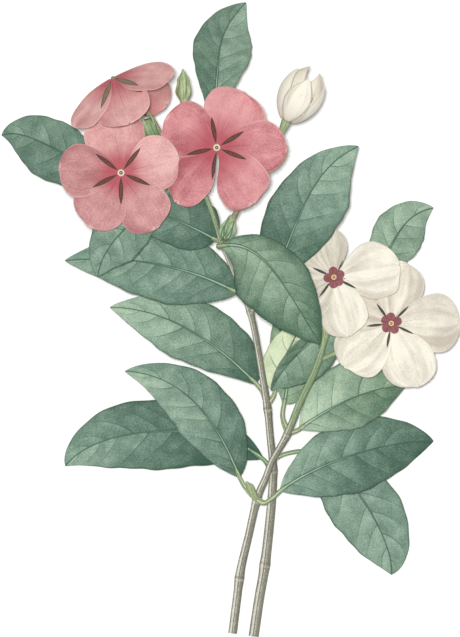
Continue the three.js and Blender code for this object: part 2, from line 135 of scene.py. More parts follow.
CARD_STOPS = [(0.3, "#faf9f7"), (0.7, "#ffffff")]
CARD_HALF = 2.0
CARD_GRAIN = 900.0
CARD_RELIEF = (0.02 * MM, 0.3)
CARD_ROUGH = 0.95
CARD_GLOSS = 0.1

card_material, tree = start_material("white_card")
position = add(tree, "ShaderNodeTexCoord").outputs["Object"]
grain = add(tree, "ShaderNodeTexNoise", {"Vector": position, "Scale": CARD_GRAIN, "Detail": 2.0})
card_colour = add(tree, "ShaderNodeValToRGB", {0: grain}, CARD_STOPS)
finish_material(tree, card_colour, grain, CARD_RELIEF, CARD_ROUGH, CARD_GLOSS)

card_mesh = bpy.data.meshes.new("card")
corners = [(-1, -1), (1, -1), (1, 1), (-1, 1)]
card_mesh.from_pydata([(x * CARD_HALF, y * CARD_HALF, 0) for x, y in corners], [], [(0, 1, 2, 3)])
card_mesh.materials.append(card_material)
put_in_scene("card", card_mesh)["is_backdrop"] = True

LAMP_PLACE = (-0.08, 0.1, 5.3)
LAMP_SIZE = 0.25
LAMP_WATTS = 252.0
SURROUND = 0.26

lamp_data = bpy.data.lights.new("soft_lamp", "AREA")
lamp_data.size = LAMP_SIZE
lamp_data.energy = LAMP_WATTS
lamp = put_in_scene("soft_lamp", lamp_data)
lamp.location = LAMP_PLACE
lamp.rotation_euler = (-Vector(LAMP_PLACE)).to_track_quat("-Z", "Y").to_euler()
lamp.visible_camera = False
world = bpy.data.worlds.new("white_surround")
world.use_nodes = True
world.node_tree.nodes["Background"].inputs["Color"].default_value = (1, 1, 1, 1)
world.node_tree.nodes["Background"].inputs["Strength"].default_value = SURROUND
bpy.context.scene.world = world
bpy.context.scene.view_settings.view_transform = "Standard"


# Stems. Two round stems, brown and woody at the foot and greener above, a little swollen and ringed
# at each node where a pair of leaves stood. Both end in a clean cut.
def at(place):
    """A photo pixel and a height in millimetres, as a point in metres."""
    x, y, height = place[:3]
    return np.array([(x - PLATE_CENTRE[0]) * PIXEL, (PLATE_CENTRE[1] - y) * PIXEL, height * MM])


def smooth_line(points, steps):
    """Points of an even Catmull-Rom line through the given ones, and how far along each lies."""
    points = np.array(points)
    padded = np.vstack([2 * points[0] - points[1], points, 2 * points[-1] - points[-2]])
    place = np.linspace(0, len(points) - 1, steps + 1)
    k = np.minimum(place.astype(int), len(points) - 2)
    f = (place - k)[:, None]
    before, start, end, after = (padded[k + i] for i in range(4))
    leave, arrive = (end - before) / 2, (after - start) / 2
    line = (2 * f**3 - 3 * f**2 + 1) * start + (f**3 - 2 * f**2 + f) * leave
    return line + (3 * f**2 - 2 * f**3) * end + (f**3 - f**2) * arrive, place / (len(points) - 1)


def frames_along(line):
    """Two steady directions across a line at each of its points."""
    ahead = np.gradient(line, axis=0)
    ahead /= np.linalg.norm(ahead, axis=1, keepdims=True)
    up = np.array([0.0, 0.0, 1.0])
    ups, sides = [], []
    for direction in ahead:
        up = up - direction * (up @ direction)
        up /= np.linalg.norm(up)
        ups.append(up)
        sides.append(np.cross(direction, up))
    return np.array(ups), np.array(sides)


def tube(line, radii, sides, ribs=0, rib_depth=0.0, twist=0.0):
    """A closed round tube. Its place marks are metres along, turn, and share along."""
    up, across = frames_along(line)
    turn = 2 * math.pi * np.arange(sides) / sides
    along = np.linspace(0, 1, len(line))
    swell = 1 + rib_depth * np.cos(ribs * (turn[None, :] - twist * along[:, None]))
    radii = np.asarray(radii)[:, None] * swell
    ring = line[:, None] + up[:, None] * (np.cos(turn) * radii)[..., None]
    ring = ring + across[:, None] * (np.sin(turn) * radii)[..., None]
    rows = len(line)
    points = np.vstack([ring.reshape(-1, 3), line[:1], line[-1:]])
    faces = []
    for i in range(rows - 1):
        for k in range(sides):
            a, b = i * sides + k, i * sides + (k + 1) % sides
            faces.append((a, b, b + sides, a + sides))
    foot, top = rows * sides, rows * sides + 1
    for k in range(sides):
        faces.append((foot, (k + 1) % sides, k))
        faces.append((top, (rows - 1) * sides + k, (rows - 1) * sides + (k + 1) % sides))
    steps = np.linalg.norm(np.diff(line, axis=0), axis=1)
    run = np.concatenate([[0], np.cumsum(steps)])
    marks = np.zeros((rows, sides, 3))
    marks[..., 0] = run[:, None]
    marks[..., 1] = turn[None, :] / (2 * math.pi)
    marks[..., 2] = along[:, None]
    ends = np.array([[0, 0, 0], [run[-1], 0, 1]])
    return {"points": points, "faces": faces, "place": np.vstack([marks.reshape(-1, 3), ends])}


MARKS = ("place", "shade", "print")


def make_piece(name, parts, materials):
    """One smooth mesh object from closed parts. Every part gives its marks and its material."""
    marks = {key for part in parts for key in part if key in MARKS}
    points = np.vstack([part["points"] for part in parts])
    faces, finish, shift = [], [], 0
    for part in parts:
        faces += [tuple(int(i) + shift for i in face) for face in part["faces"]]
        finish += [part.get("material", 0)] * len(part["faces"])
        shift += len(part["points"])
    points[:, 2] = np.maximum(points[:, 2], 0.0)
    mesh = bpy.data.meshes.new(name)
    mesh.from_pydata(points.tolist(), [], faces)
    for key in sorted(marks):
        values = [part.get(key, np.zeros((len(part["points"]), 3))) for part in parts]
        layer = mesh.attributes.new(key, "FLOAT_VECTOR", "POINT")
        layer.data.foreach_set("vector", np.vstack(values).astype(np.float32).ravel())
    for material in materials:
        mesh.materials.append(material)
    mesh.polygons.foreach_set("material_index", finish)
    mesh.polygons.foreach_set("use_smooth", [True] * len(mesh.polygons))
    mesh.update()
    return put_in_scene(name, mesh)


def declare(piece, node):
    """Rides a piece on the one body, in place of its node of the solids."""
    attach(piece, "root")
    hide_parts(node)


# Bark of a half-woody stem: thin, dull and grey-brown, with long pale and dark streaks 0.3 to 0.5 mm
# wide, a painted highlight along the upper side and painted shade on the flanks, and green showing
# through where the stem is young. The cut ends are pale and pithy.
BARK = [(0.25, "#5c594c"), (0.42, "#817f70"), (0.58, "#9a9888"), (0.78, "#bebcab")]
YOUNG_STEM = [(0.25, "#5f7c54"), (0.5, "#85a073"), (0.8, "#b6c79c")]
RING_BROWN = "#665e50"
CUT_PITH = "#ddd7c2"
# Painted highlight along the upper side and painted shade on the flanks, where the light falls.
PAINTED_HIGHLIGHT = "#e6e5d6"
PAINTED_FLANK_SHADE = "#5a5546"
HIGHLIGHT_TURN = 0.4
STREAK_LENGTH = 12 * MM
STREAK_SCALE = 3.6
STREAK_DETAIL = 4.0
BARK_SPECKS = 2600.0
SPECKS_SHARE = 0.62
HIGHLIGHT_RAGGED = 0.5
HIGHLIGHT_FADES = 0.75
BARK_RELIEF = (0.14 * MM, 0.7)
BARK_GLOSS = 0.4

# A span is where a Map Range node starts and ends, 1 and 2, and what it gives there, 3 and 4.
HIGHLIGHT_SHOWS = {1: 1.14, 2: 1.22, 3: 0.0, 4: 0.85}
FLANK_SHADE_SHOWS = {1: 0.3, 2: 1.05, 3: 0.6, 4: 0.0}
BARK_ROUGH = {3: 0.34, 4: 0.6}


def streaks_along(tree, place, length, scale, detail):
    """Noise drawn out in streaks along a round stem, and the turn about the stem in radians."""
    run = add(tree, "ShaderNodeMath", {0: place[0], 1: length}, operation="DIVIDE")
    around = add(tree, "ShaderNodeMath", {0: place[1], 1: 2 * math.pi}, operation="MULTIPLY")
    east = add(tree, "ShaderNodeMath", {0: around}, operation="COSINE")
    north = add(tree, "ShaderNodeMath", {0: around}, operation="SINE")
    wrapped = add(tree, "ShaderNodeCombineXYZ", {0: east, 1: north, 2: run})
    return add(tree, "ShaderNodeTexNoise", {"Vector": wrapped, "Scale": scale, "Detail": detail}), around


def lay_over(tree, colour, layers):
    """A colour with others laid over it, each by its share. They are hex codes or nodes."""
    for share, over in layers:
        over = linear(over) if isinstance(over, str) else over
        colour = add(tree, "ShaderNodeMix", {0: share, 6: colour, 7: over}, data_type="RGBA").outputs[2]
    return colour


bark, tree, place, shade = start_material("stem_bark", "place", "shade")
position = add(tree, "ShaderNodeTexCoord").outputs["Object"]
streaks, around = streaks_along(tree, place, STREAK_LENGTH, STREAK_SCALE, STREAK_DETAIL)
specks = add(tree, "ShaderNodeTexNoise", {"Vector": position, "Scale": BARK_SPECKS, "Detail": 2.0})
mixed = add(tree, "ShaderNodeMix", {0: SPECKS_SHARE, 2: streaks, 3: specks})
# Painted highlight where the stem faces the light, and painted shade on its flanks.
facing_light = add(tree, "ShaderNodeMath", {0: around, 1: HIGHLIGHT_TURN}, operation="ADD")
facing_light = add(tree, "ShaderNodeMath", {0: facing_light}, operation="COSINE")
facing_light = add(tree, "ShaderNodeMath", {0: mixed, 1: HIGHLIGHT_RAGGED, 2: facing_light}, operation="MULTIPLY_ADD")
highlight_on = add(tree, "ShaderNodeMapRange", {0: facing_light, **HIGHLIGHT_SHOWS})
woody = add(tree, "ShaderNodeMath", {0: shade[0], 1: -HIGHLIGHT_FADES, 2: 1.0}, operation="MULTIPLY_ADD")
highlight_on = add(tree, "ShaderNodeMath", {0: highlight_on, 1: woody}, operation="MULTIPLY")
flank_shade_on = add(tree, "ShaderNodeMapRange", {0: facing_light, **FLANK_SHADE_SHOWS})
colour = add(tree, "ShaderNodeValToRGB", {0: mixed}, BARK)
young = add(tree, "ShaderNodeValToRGB", {0: mixed}, YOUNG_STEM)
layers = [(shade[0], young), (flank_shade_on, PAINTED_FLANK_SHADE), (highlight_on, PAINTED_HIGHLIGHT)]
colour = lay_over(tree, colour, [*layers, (shade[1], RING_BROWN), (shade[2], CUT_PITH)])
roughness = add(tree, "ShaderNodeMapRange", {0: mixed, **BARK_ROUGH})
finish_material(tree, colour, mixed, BARK_RELIEF, roughness, BARK_GLOSS)

# A stem has a line of photo pixels, heights and radii in millimetres, its nodes, and the share of its
# length over which it turns green.
STEMS = {
    "stem_pink": {
        "line": [
            (253.7, 638, 1.5, 1.85), (259.3, 600, 1.5, 1.8), (265.3, 564, 2.2, 1.8), (271.5, 505, 5.5, 1.6),
            (273, 468, 9, 1.45), (270, 435, 12.5, 1.3), (267, 405, 16, 1.3), (258, 350, 20, 1.15),
            (250, 312, 23, 1.1), (236, 277, 26, 1.0), (222, 243, 29.2, 1.0), (215, 221, 32.8, 0.9),
            (207, 200, 33.4, 0.85), (190, 165, 31, 0.85), (168, 148, 30, 0.8),
        ],
        "nodes": [
            (264.9, 566.3, 2.1), (273, 471.5, 8.7), (267.4, 409.5, 15.5), (250, 312, 23), (222, 243, 28.5),
            (190, 165, 30),
        ],
        "greens": (0.67, 0.78),
        "greenest": 0.95,
    },
    "stem_white": {
        "line": [
            (232.6, 635, 1.4, 1.6), (237, 600, 1.4, 1.55), (241, 570, 2.6, 1.55), (249, 535, 6.5, 1.4),
            (257, 500, 10.6, 1.4), (266, 478, 11.8, 1.25), (272, 462, 12.7, 1.2), (280, 448, 14.2, 1.2),
            (288, 433, 16, 1.25), (300, 403, 18.5, 1.3), (312, 378, 22, 1.25), (319, 360, 24, 1.1),
            (328, 333, 24, 1.0), (345, 306, 22, 0.9),
        ],
        "nodes": [(238.6, 580, 2.3), (256.5, 502, 10.4), (287, 435, 15.9), (319, 360, 24)],
        "greens": (0.6, 0.66),
        "greenest": 1.0,
    },
}
NODE_SWELL = 0.2 * MM
NODE_REACH = 2.2 * MM
RING_HEIGHT = 0.07 * MM
RING_WIDTH = 0.22 * MM
RING_LAG = 2
STEM_SIDES = 20
STEM_STEPS = 40
STEM_RIBS = 5
STEM_RIB_DEPTH = 0.025
RING_SHOWS = 0.55
SCAR_SHOWS = 0.35
GREEN_HIDES = 0.6


def stem_tube(stem):
    line, share = smooth_line([at(p) for p in stem["line"]], (len(stem["line"]) - 1) * STEM_STEPS)
    radii = np.interp(share, np.linspace(0, 1, len(stem["line"])), [p[3] * MM for p in stem["line"]])
    ring = np.zeros(len(line))
    for node in stem["nodes"]:
        gap = np.linalg.norm(line - at(node), axis=1)
        gap = gap - gap.min()
        radii += NODE_SWELL * np.exp(-((gap / NODE_REACH) ** 2))
        ring += np.exp(-((gap / RING_WIDTH) ** 2))
    radii += RING_HEIGHT * ring
    part = tube(line, radii, STEM_SIDES, STEM_RIBS, STEM_RIB_DEPTH)
    start, end = stem["greens"]
    green = np.clip((share - start) / (end - start), 0, 1) * stem["greenest"]
    shade = np.zeros((len(line), STEM_SIDES, 3))
    shade[..., 0] = green[:, None]
    shade[..., 1] = (RING_SHOWS * np.roll(ring, RING_LAG) * (1 - GREEN_HIDES * green))[:, None]
    shade[..., 2] = (SCAR_SHOWS * np.roll(ring, -1) * (1 - green))[:, None]
    caps = np.array([[0, 0, 1.0], [green[-1], 0, 0]])
    part["shade"] = np.vstack([shade.reshape(-1, 3), caps])
    return part


# Lenticels: small corky breathing pores, low oval grains that break through the bark. They are
# scattered at random over the lower, woody part of each stem.
LENTICEL_RADIUS = 0.11 * MM
LENTICELS_PER_M2 = 160000.0
LENTICEL_SHAPE = (0.8, 1.5, 0.5)
LENTICEL_TOP = 0.42
LENTICEL_PALE = 0.35
LENTICEL_FINENESS = 2


def start_grower(name, sizes):
    """A Geometry Nodes tree with geometry going in and out, and named inputs of the given kinds."""
    tree = bpy.data.node_groups.new(name, "GeometryNodeTree")
    tree.interface.new_socket(name="Geometry", in_out="INPUT", socket_type="NodeSocketGeometry")
    for key, kind in sizes.items():
        tree.interface.new_socket(name=key, in_out="INPUT", socket_type="NodeSocket" + kind)
    tree.interface.new_socket(name="Geometry", in_out="OUTPUT", socket_type="NodeSocketGeometry")
    return tree, add(tree, "NodeGroupInput").outputs


def finish_grower(tree, grown, material):
    """Makes what has grown real, gives it its material and hands it out."""
    real = add(tree, "GeometryNodeRealizeInstances", {"Geometry": grown})
    finished = add(tree, "GeometryNodeSetMaterial", {"Geometry": real, "Material": material})
    add(tree, "NodeGroupOutput", {0: finished})


def run_tree(source, tree, values):
    """The mesh that a node tree makes of a piece, as loose points and faces. The piece goes away."""
    modifier = source.modifiers.new("grow", "NODES")
    modifier.node_group = tree
    for item in tree.interface.items_tree:
        if item.item_type == "SOCKET" and item.name in values:
            modifier[item.identifier] = values[item.name]
    bpy.context.view_layer.update()
    evaluated = source.evaluated_get(bpy.context.evaluated_depsgraph_get())
    mesh = bpy.data.meshes.new_from_object(evaluated)
    points = np.array([v.co for v in mesh.vertices], float).reshape(-1, 3)
    faces = [tuple(p.vertices) for p in mesh.polygons]
    bpy.data.meshes.remove(mesh)
    source.modifiers.remove(modifier)
    bpy.data.objects.remove(source)
    return {"points": points, "faces": faces}


sizes = {"Pore Radius": "Float", "Pores per m2": "Float", "Seed": "Int", "Bark": "Material"}
lenticels, given = start_grower("scatter_lenticels", sizes)
spots = {"Mesh": given[0], "Density": given["Pores per m2"], "Seed": given["Seed"]}
scattered = add(lenticels, "GeometryNodeDistributePointsOnFaces", spots).outputs
pore_sizes = {"Radius": given["Pore Radius"], "Subdivisions": LENTICEL_FINENESS}
pore = add(lenticels, "GeometryNodeMeshIcoSphere", pore_sizes)
pore_places = {
    "Points": scattered["Points"],
    "Instance": pore,
    "Rotation": scattered["Rotation"],
    "Scale": LENTICEL_SHAPE,
}
finish_grower(lenticels, add(lenticels, "GeometryNodeInstanceOnPoints", pore_places), given["Bark"])

for seed, (name, stem) in enumerate(STEMS.items()):
    whole = stem_tube(stem)
    rows = int(LENTICEL_TOP * (len(stem["line"]) - 1) * STEM_STEPS)
    woody = [face for face in whole["faces"] if len(face) == 4 and max(face) < rows * STEM_SIDES]
    woody_part = {"points": whole["points"][: rows * STEM_SIDES], "faces": woody}
    carrier = make_piece("woody_" + name, [woody_part], [bark])
    values = {"Pore Radius": LENTICEL_RADIUS, "Pores per m2": LENTICELS_PER_M2, "Seed": seed, "Bark": bark}
    dots = run_tree(carrier, lenticels, values)
    dots["shade"] = np.tile([0.0, 0.0, LENTICEL_PALE], (len(dots["points"]), 1))
    declare(make_piece("cane_" + name, [whole, dots], [bark]), name)


# Leaves. Each is a smooth leathery blade about 0.45 mm thick, creased along a pale midrib, with six
# or seven pairs of side veins that bow towards the tip, on a short pale stalk that clasps the stem.

# A leaf has the place where it joins its stem, others that its stalk goes by, and four midrib points
# at thirds of its length. Its left and right halves have a width in millimetres, the share of the
# length where they are fullest, a lift in degrees and a tone of painted light and shade. Wave is how
# far its edge ripples, ends are the painted light and shade of foot and tip, pale makes it young, rim
# darkens its margin, stalk greens its stalk.
LEAVES = {
    "pink_leaf_1_left": {
        "joins": (270, 469, 9), "stalk": 0.9,
        "midrib": [(262, 459, 9.5), (198, 434, 9), (120, 437, 6), (65, 467, 0.35)],
        "wide": (13.4, 11.6), "fullest": (0.5, 0.56), "lift": (8, 12), "wave": 0.7, "phase": 0.3,
        "tone": (-0.05, -0.2), "ends": (-1.3, 0.42), "pale": 0.0,
    },
    "pink_leaf_1_right": {
        "joins": (273, 467, 9), "via": [(275, 460, 9.6), (284, 455, 9)], "stalk": 0.2,
        "midrib": [(300, 452, 8), (345, 478, 7.5), (380, 530, 5), (392, 576, 0.35)],
        "wide": (11.2, 13.2), "fullest": (0.56, 0.5), "lift": (8, 8), "wave": 0.7, "phase": 1.0,
        "tone": (0.06, 0.22), "ends": (-0.2, 0.15), "pale": 0.0,
    },
    "pink_leaf_2_left": {
        "joins": (267, 404, 16),
        "midrib": [(256, 384, 17), (217, 349, 20), (168, 320, 18), (110, 308, 10)],
        "wide": (12.0, 11.6), "fullest": (0.56, 0.4), "lift": (22, 8), "wave": 0.8, "phase": 2.0,
        "tone": (0.24, 0.16), "ends": (-0.85, 0.42), "pale": 0.05,
    },
    "pink_leaf_2_right": {
        "joins": (267, 404, 16),
        "midrib": [(275, 391, 16), (282, 366, 17), (294, 340, 16), (308, 312, 15)],
        "wide": (7.0, 8.0), "fullest": (0.42, 0.42), "lift": (8, 8), "wave": 0.3, "phase": 0.0,
        "tone": (0.75, 0.65), "ends": (0.1, 0.0), "pale": 1.0,
    },
    "pink_leaf_3_left": {
        "joins": (250, 312, 23),
        "midrib": [(237, 293, 25), (187, 272, 26), (130, 261, 22), (65, 261, 13)],
        "wide": (13.2, 11.4), "fullest": (0.46, 0.42), "lift": (14, 6), "wave": 0.8, "phase": 0.7,
        "tone": (0.17, 0.14), "ends": (-0.5, 0.1), "pale": 0.0,
    },
    "pink_leaf_3_right": {
        "joins": (250, 312, 23),
        "midrib": [(266, 292, 26), (291, 236, 36), (316, 184, 34), (358, 147, 22)],
        "wide": (12.0, 14.4), "fullest": (0.42, 0.56), "lift": (18, 6), "wave": 0.6, "phase": 1.4,
        "tone": (0.05, 0.2), "ends": (-1.05, 0.36), "pale": 0.0,
    },
    "pink_leaf_4_left": {
        "joins": (222, 242, 28.3),
        "midrib": [(215, 240, 28.6), (190, 227, 32), (150, 211, 33), (112, 204, 31)],
        "wide": (8.8, 11.0), "fullest": (0.45, 0.4), "lift": (6, 6), "wave": 0.4, "phase": 0.0,
        "tone": (-0.15, -0.15), "ends": (-0.4, 0.1), "pale": 0.0,
    },
    "pink_leaf_4_right": {
        "joins": (218.9, 246.6, 29), "via": [(219.2, 246.8, 29.9)],
        "midrib": [(220, 247, 30.6), (258, 256, 38), (289, 294, 42), (320, 344, 34)],
        "wide": (10.8, 15.2), "fullest": (0.58, 0.5), "lift": (24, 6), "wave": 0.5, "phase": 0.0,
        "tone": (0.16, 0.3), "ends": (0.0, -0.6), "pale": 0.2, "rim": 0.7,
    },
    "pink_leaf_5_top": {
        "joins": (190, 165, 30),
        "midrib": [(208, 128, 31), (217, 78, 29), (222, 40, 16), (246, 2, 0.35)],
        "wide": (9.8, 11.4), "fullest": (0.58, 0.6), "lift": (20, 8), "wave": 0.4, "phase": 0.0,
        "tone": (-0.05, 0.28), "ends": (-0.45, 0.05), "pale": 0.05,
    },
    "pink_leaf_5_low": {
        "joins": (190, 165, 30),
        "midrib": [(172, 182, 33), (142, 214, 36), (114, 242, 36), (98, 277, 32)],
        "wide": (9.6, 9.2), "fullest": (0.6, 0.55), "lift": (8, 8), "wave": 0.5, "phase": 0.5,
        "tone": (0.08, 0.08), "ends": (0.0, 0.1), "pale": 0.0,
    },
    "pink_leaf_6_left": {
        "joins": (168, 148, 30),
        "midrib": [(128, 160, 27), (80, 160, 21), (38, 141, 10), (1, 135, 0.35)],
        "wide": (11.4, 9.8), "fullest": (0.5, 0.56), "lift": (8, 8), "wave": 0.5, "phase": 0.0,
        "tone": (-0.1, 0.0), "ends": (-0.15, 0.1), "pale": 0.0,
    },
    "white_leaf_1_left": {
        "joins": (257, 500, 11),
        "midrib": [(239, 477, 13), (219, 435, 17), (183, 393, 17), (125, 372, 9)],
        "wide": (13.0, 10.6), "fullest": (0.5, 0.48), "lift": (34, 6), "wave": 0.7, "phase": 0.4,
        "tone": (0.26, -0.05), "ends": (-0.5, 0.42), "pale": 0.0,
    },
    "white_leaf_1_right": {
        "joins": (257, 500, 11), "via": [(264, 503.5, 12.2), (272, 499, 12.6)],
        "midrib": [(281, 491, 12), (325, 466, 15), (380, 448, 11), (434, 442, 0.35)],
        "wide": (13.6, 13.2), "fullest": (0.53, 0.5), "lift": (25, 5), "wave": 0.7, "phase": 0.9,
        "tone": (0.0, -0.22), "ends": (0.55, -0.4), "pale": 0.0,
    },
    "white_leaf_2_up": {
        "joins": (288, 433, 16),
        "midrib": [(284, 404, 12.5), (287, 380, 11), (284, 350, 10), (276, 316, 9)],
        "wide": (5.5, 8.6), "fullest": (0.55, 0.4), "lift": (4, 4), "wave": 0.2, "phase": 0.0,
        "tone": (0.1, 0.02), "ends": (0.05, -0.1), "pale": 0.35,
    },
    "white_leaf_2_right": {
        "joins": (288, 433, 16),
        "midrib": [(300, 429, 15.5), (328, 411, 18), (365, 394, 16), (406, 387, 9)],
        "wide": (13.0, 12.6), "fullest": (0.55, 0.56), "lift": (6, 34), "wave": 0.6, "phase": 0.9,
        "tone": (0.2, -0.1), "ends": (0.9, -0.3), "pale": 0.2,
    },
    "white_leaf_3_down": {
        "joins": (345, 306, 22),
        "midrib": [(338, 316, 21.6), (310, 342, 22), (287, 366, 22), (271, 391, 20)],
        "wide": (11.6, 4.6), "fullest": (0.44, 0.5), "lift": (-6, 50), "wave": 0.3, "phase": 0.0,
        "tone": (0.06, -0.04), "ends": (0.1, -0.15), "pale": 0.12,
    },
    "white_leaf_3_up": {
        "joins": (345, 306, 22),
        "midrib": [(362, 288, 21), (386, 256, 18), (404, 226, 10), (434, 208, 0.35)],
        "wide": (8.6, 9.2), "fullest": (0.56, 0.58), "lift": (6, 6), "wave": 0.4, "phase": 0.0,
        "tone": (0.36, 0.27), "ends": (-0.05, 0.1), "pale": 0.1,
    },
}
BLADE_THICK = 0.45 * MM
EDGE_THICK = 0.2 * MM
TIP_HALF = 0.6
FULLNESS = 0.85
EDGE_DROOP = 0.02
RIPPLES = 2.2
EDGE_SHIFT = 1.3
MARGIN_WAVES = [(0.02, 3.3, 1.0), (0.011, 8.1, 2.3)]
ROWS = 110
COLUMNS = 30
VEIN_SPACING = 8.6 * MM
VEIN_BOW = 0.2
VEIN_CURVE = 1.35
VEIN_STAGGER = 0.45
VEIN_JITTER = 0.16
CREASE_DEPTH = 0.3 * MM
CREASE_HALF = 0.9 * MM
CORD_HEIGHT = 0.18 * MM
CORD_HALF = 0.25 * MM
QUILT = 0.16 * MM
RIM_DARKER = 0.15
TIP_NARROWS = 0.7
COLUMNS_CROWD = 1.5
QUILT_LEVEL = 0.6
QUILT_BELOW = 0.6
CORD_THINS = 0.7
END_TONES = 2.5


def midrib_point(leaf, t):
    """A cubic through the four midrib points, at thirds of its length."""
    p = [at(q) for q in leaf["midrib"]]
    leave = (-5 * p[0] + 18 * p[1] - 9 * p[2] + 2 * p[3]) / 6
    arrive = (2 * p[0] - 9 * p[1] + 18 * p[2] - 5 * p[3]) / 6
    t = np.asarray(t, float)[..., None]
    s = 1 - t
    return p[0] * s**3 + 3 * leave * s * s * t + 3 * arrive * s * t * t + p[3] * t**3


def leaf_profile(t, fullest):
    """Half width along a leaf as a share of the widest, reaching 1 at the fullest place."""
    power = math.log(0.5) / math.log(fullest)
    return np.sin(np.pi * np.clip(t, 0, 1) ** power).clip(0) ** FULLNESS


def blade_point(leaf, t, v):
    """The middle surface of a blade at share t along and v from -1, right edge, to 1, left edge."""
    nudge = 1e-4
    ahead = midrib_point(leaf, t + nudge) - midrib_point(leaf, t - nudge)
    left = np.stack([-ahead[..., 1], ahead[..., 0], 0 * ahead[..., 0]], -1)
    left /= np.linalg.norm(left, axis=-1, keepdims=True)
    tip = TIP_HALF * (1 - TIP_NARROWS * t)
    halves = [w * leaf_profile(t, f) + tip for w, f in zip(leaf["wide"], leaf["fullest"])]
    margin = 1.0
    for size, count, shift in MARGIN_WAVES:
        margin = margin + size * np.sin(2 * np.pi * (count * t + shift * leaf["phase"]) + 2 * np.sign(v))
    reach = np.abs(v) * np.where(v > 0, halves[0], halves[1]) * margin
    lift = np.radians(np.where(v > 0, leaf["lift"][0], leaf["lift"][1]))
    turns = 2 * np.pi * (RIPPLES * t + leaf["phase"]) + np.where(v > 0, 0, EDGE_SHIFT)
    ripple = leaf["wave"] * v**2 * np.sin(turns) * np.sin(np.pi * t)
    point = midrib_point(leaf, t) + left * (np.sign(v) * reach * np.cos(lift) * MM)[..., None]
    point[..., 2] += (reach * np.sin(lift) - EDGE_DROOP * reach**2 + ripple) * MM
    point[..., 2] = np.maximum(point[..., 2], BLADE_THICK / 2)
    return point, reach * MM


def blade_normal(leaf, t, v):
    """The upward direction square to a blade."""
    step = 0.01
    low, high = np.clip(t - step, 0, 1), np.clip(t + step, 0, 1)
    right, left = np.clip(v - step, -1, 1), np.clip(v + step, -1, 1)
    along = blade_point(leaf, high, v)[0] - blade_point(leaf, low, v)[0]
    side = blade_point(leaf, t, left)[0] - blade_point(leaf, t, right)[0]
    normal = np.cross(along, side)
    return normal / np.linalg.norm(normal, axis=-1, keepdims=True)


def sheet_faces(rows, columns):
    """Faces of a closed sheet: the upper grid, the lower grid after it, and the rim between them."""
    row = columns + 1
    under = (rows + 1) * row
    faces = []
    for i in range(rows):
        for j in range(columns):
            a = i * row + j
            faces.append((a, a + row, a + row + 1, a + 1))
            faces.append((under + a, under + a + 1, under + a + row + 1, under + a + row))
        left, right = i * row, i * row + columns
        faces.append((left, under + left, under + left + row, left + row))
        faces.append((right, right + row, under + right + row, under + right))
    for j in range(columns):
        end = rows * row + j
        faces.append((j, j + 1, under + j + 1, under + j))
        faces.append((end, under + end, under + end + 1, end + 1))
    return faces


def vein_count(leaf):
    line = midrib_point(leaf, np.linspace(0, 1, 40))
    return max(round(np.linalg.norm(np.diff(line, axis=0), axis=1).sum() / VEIN_SPACING), 2)


def vein_phase(leaf, t, v):
    """Counts the side veins of a half blade, at uneven distances: a whole number is on a vein."""
    foot = vein_count(leaf) * (t - VEIN_BOW * np.abs(v) ** VEIN_CURVE) + np.where(v > 0, 0.0, VEIN_STAGGER)
    return foot + VEIN_JITTER * np.sin(2.3 * foot + 9 * leaf["phase"] + np.sign(v))


def blade_part(leaf, rows, columns):
    """A blade with its crease, midrib cord and the swelling between side veins on the upper face."""
    spread = np.linspace(-1, 1, columns + 1)
    spread = np.sign(spread) * np.abs(spread) ** COLUMNS_CROWD
    t, v = np.meshgrid(np.linspace(0, 1, rows + 1), spread, indexing="ij")
    middle, reach = blade_point(leaf, t, v)
    normal = blade_normal(leaf, t, v)
    phase = vein_phase(leaf, t, v)
    fade = np.sin(np.pi * t.clip(0.02, 0.98)) ** 0.5 * (1 - np.abs(v) ** 4)
    crease = -CREASE_DEPTH * np.exp(-((reach / CREASE_HALF) ** 2)) * (1 - t**2)
    cord = CORD_HEIGHT * np.exp(-((reach / CORD_HALF) ** 2)) * (1 - t) ** CORD_THINS
    quilt = QUILT * (np.abs(np.sin(np.pi * phase)) - QUILT_LEVEL) * fade
    half = (BLADE_THICK + (EDGE_THICK - BLADE_THICK) * np.abs(v) ** 3) / 2
    upper = middle + normal * (half + crease + cord + quilt)[..., None]
    lower = middle - normal * (half - QUILT_BELOW * quilt)[..., None]
    place = np.stack([phase, reach / MM, t], -1)
    # Painted light and shade: one half lighter than the other, and the foot and tip each by its own value.
    side = np.where(v > 0, leaf["tone"][0], leaf["tone"][1])
    tone = side + leaf["ends"][0] * (1 - t) ** END_TONES + leaf["ends"][1] * t**END_TONES
    tone = tone - leaf.get("rim", RIM_DARKER) * v**2
    shade = np.stack([tone, np.full_like(t, leaf["pale"]), np.ones_like(t)], -1)
    beneath = shade * [1, 1, 0]
    drawn = np.stack([np.abs(v), fade, 0 * t], -1)
    return {
        "points": np.vstack([upper.reshape(-1, 3), lower.reshape(-1, 3)]),
        "faces": sheet_faces(rows, columns),
        "place": np.vstack([place.reshape(-1, 3)] * 2),
        "shade": np.vstack([shade.reshape(-1, 3), beneath.reshape(-1, 3)]),
        "print": np.vstack([drawn.reshape(-1, 3)] * 2),
    }


# Veins. On the underside they stand out as round ribs of the leaf's own tissue, thick along the
# midrib and fine towards the margin, and grown fast to the blade.
RIB_SIDES = 6
RIB_STEPS = 14
RIB_HANGS = 0.65
MIDRIB_THICK = (0.65, 0.15)
SIDE_VEIN_THICK = (0.24, 0.08)
RIB_REACH = 0.88
RIB_TONE = 0.3
MIDRIB_STEPS = 30

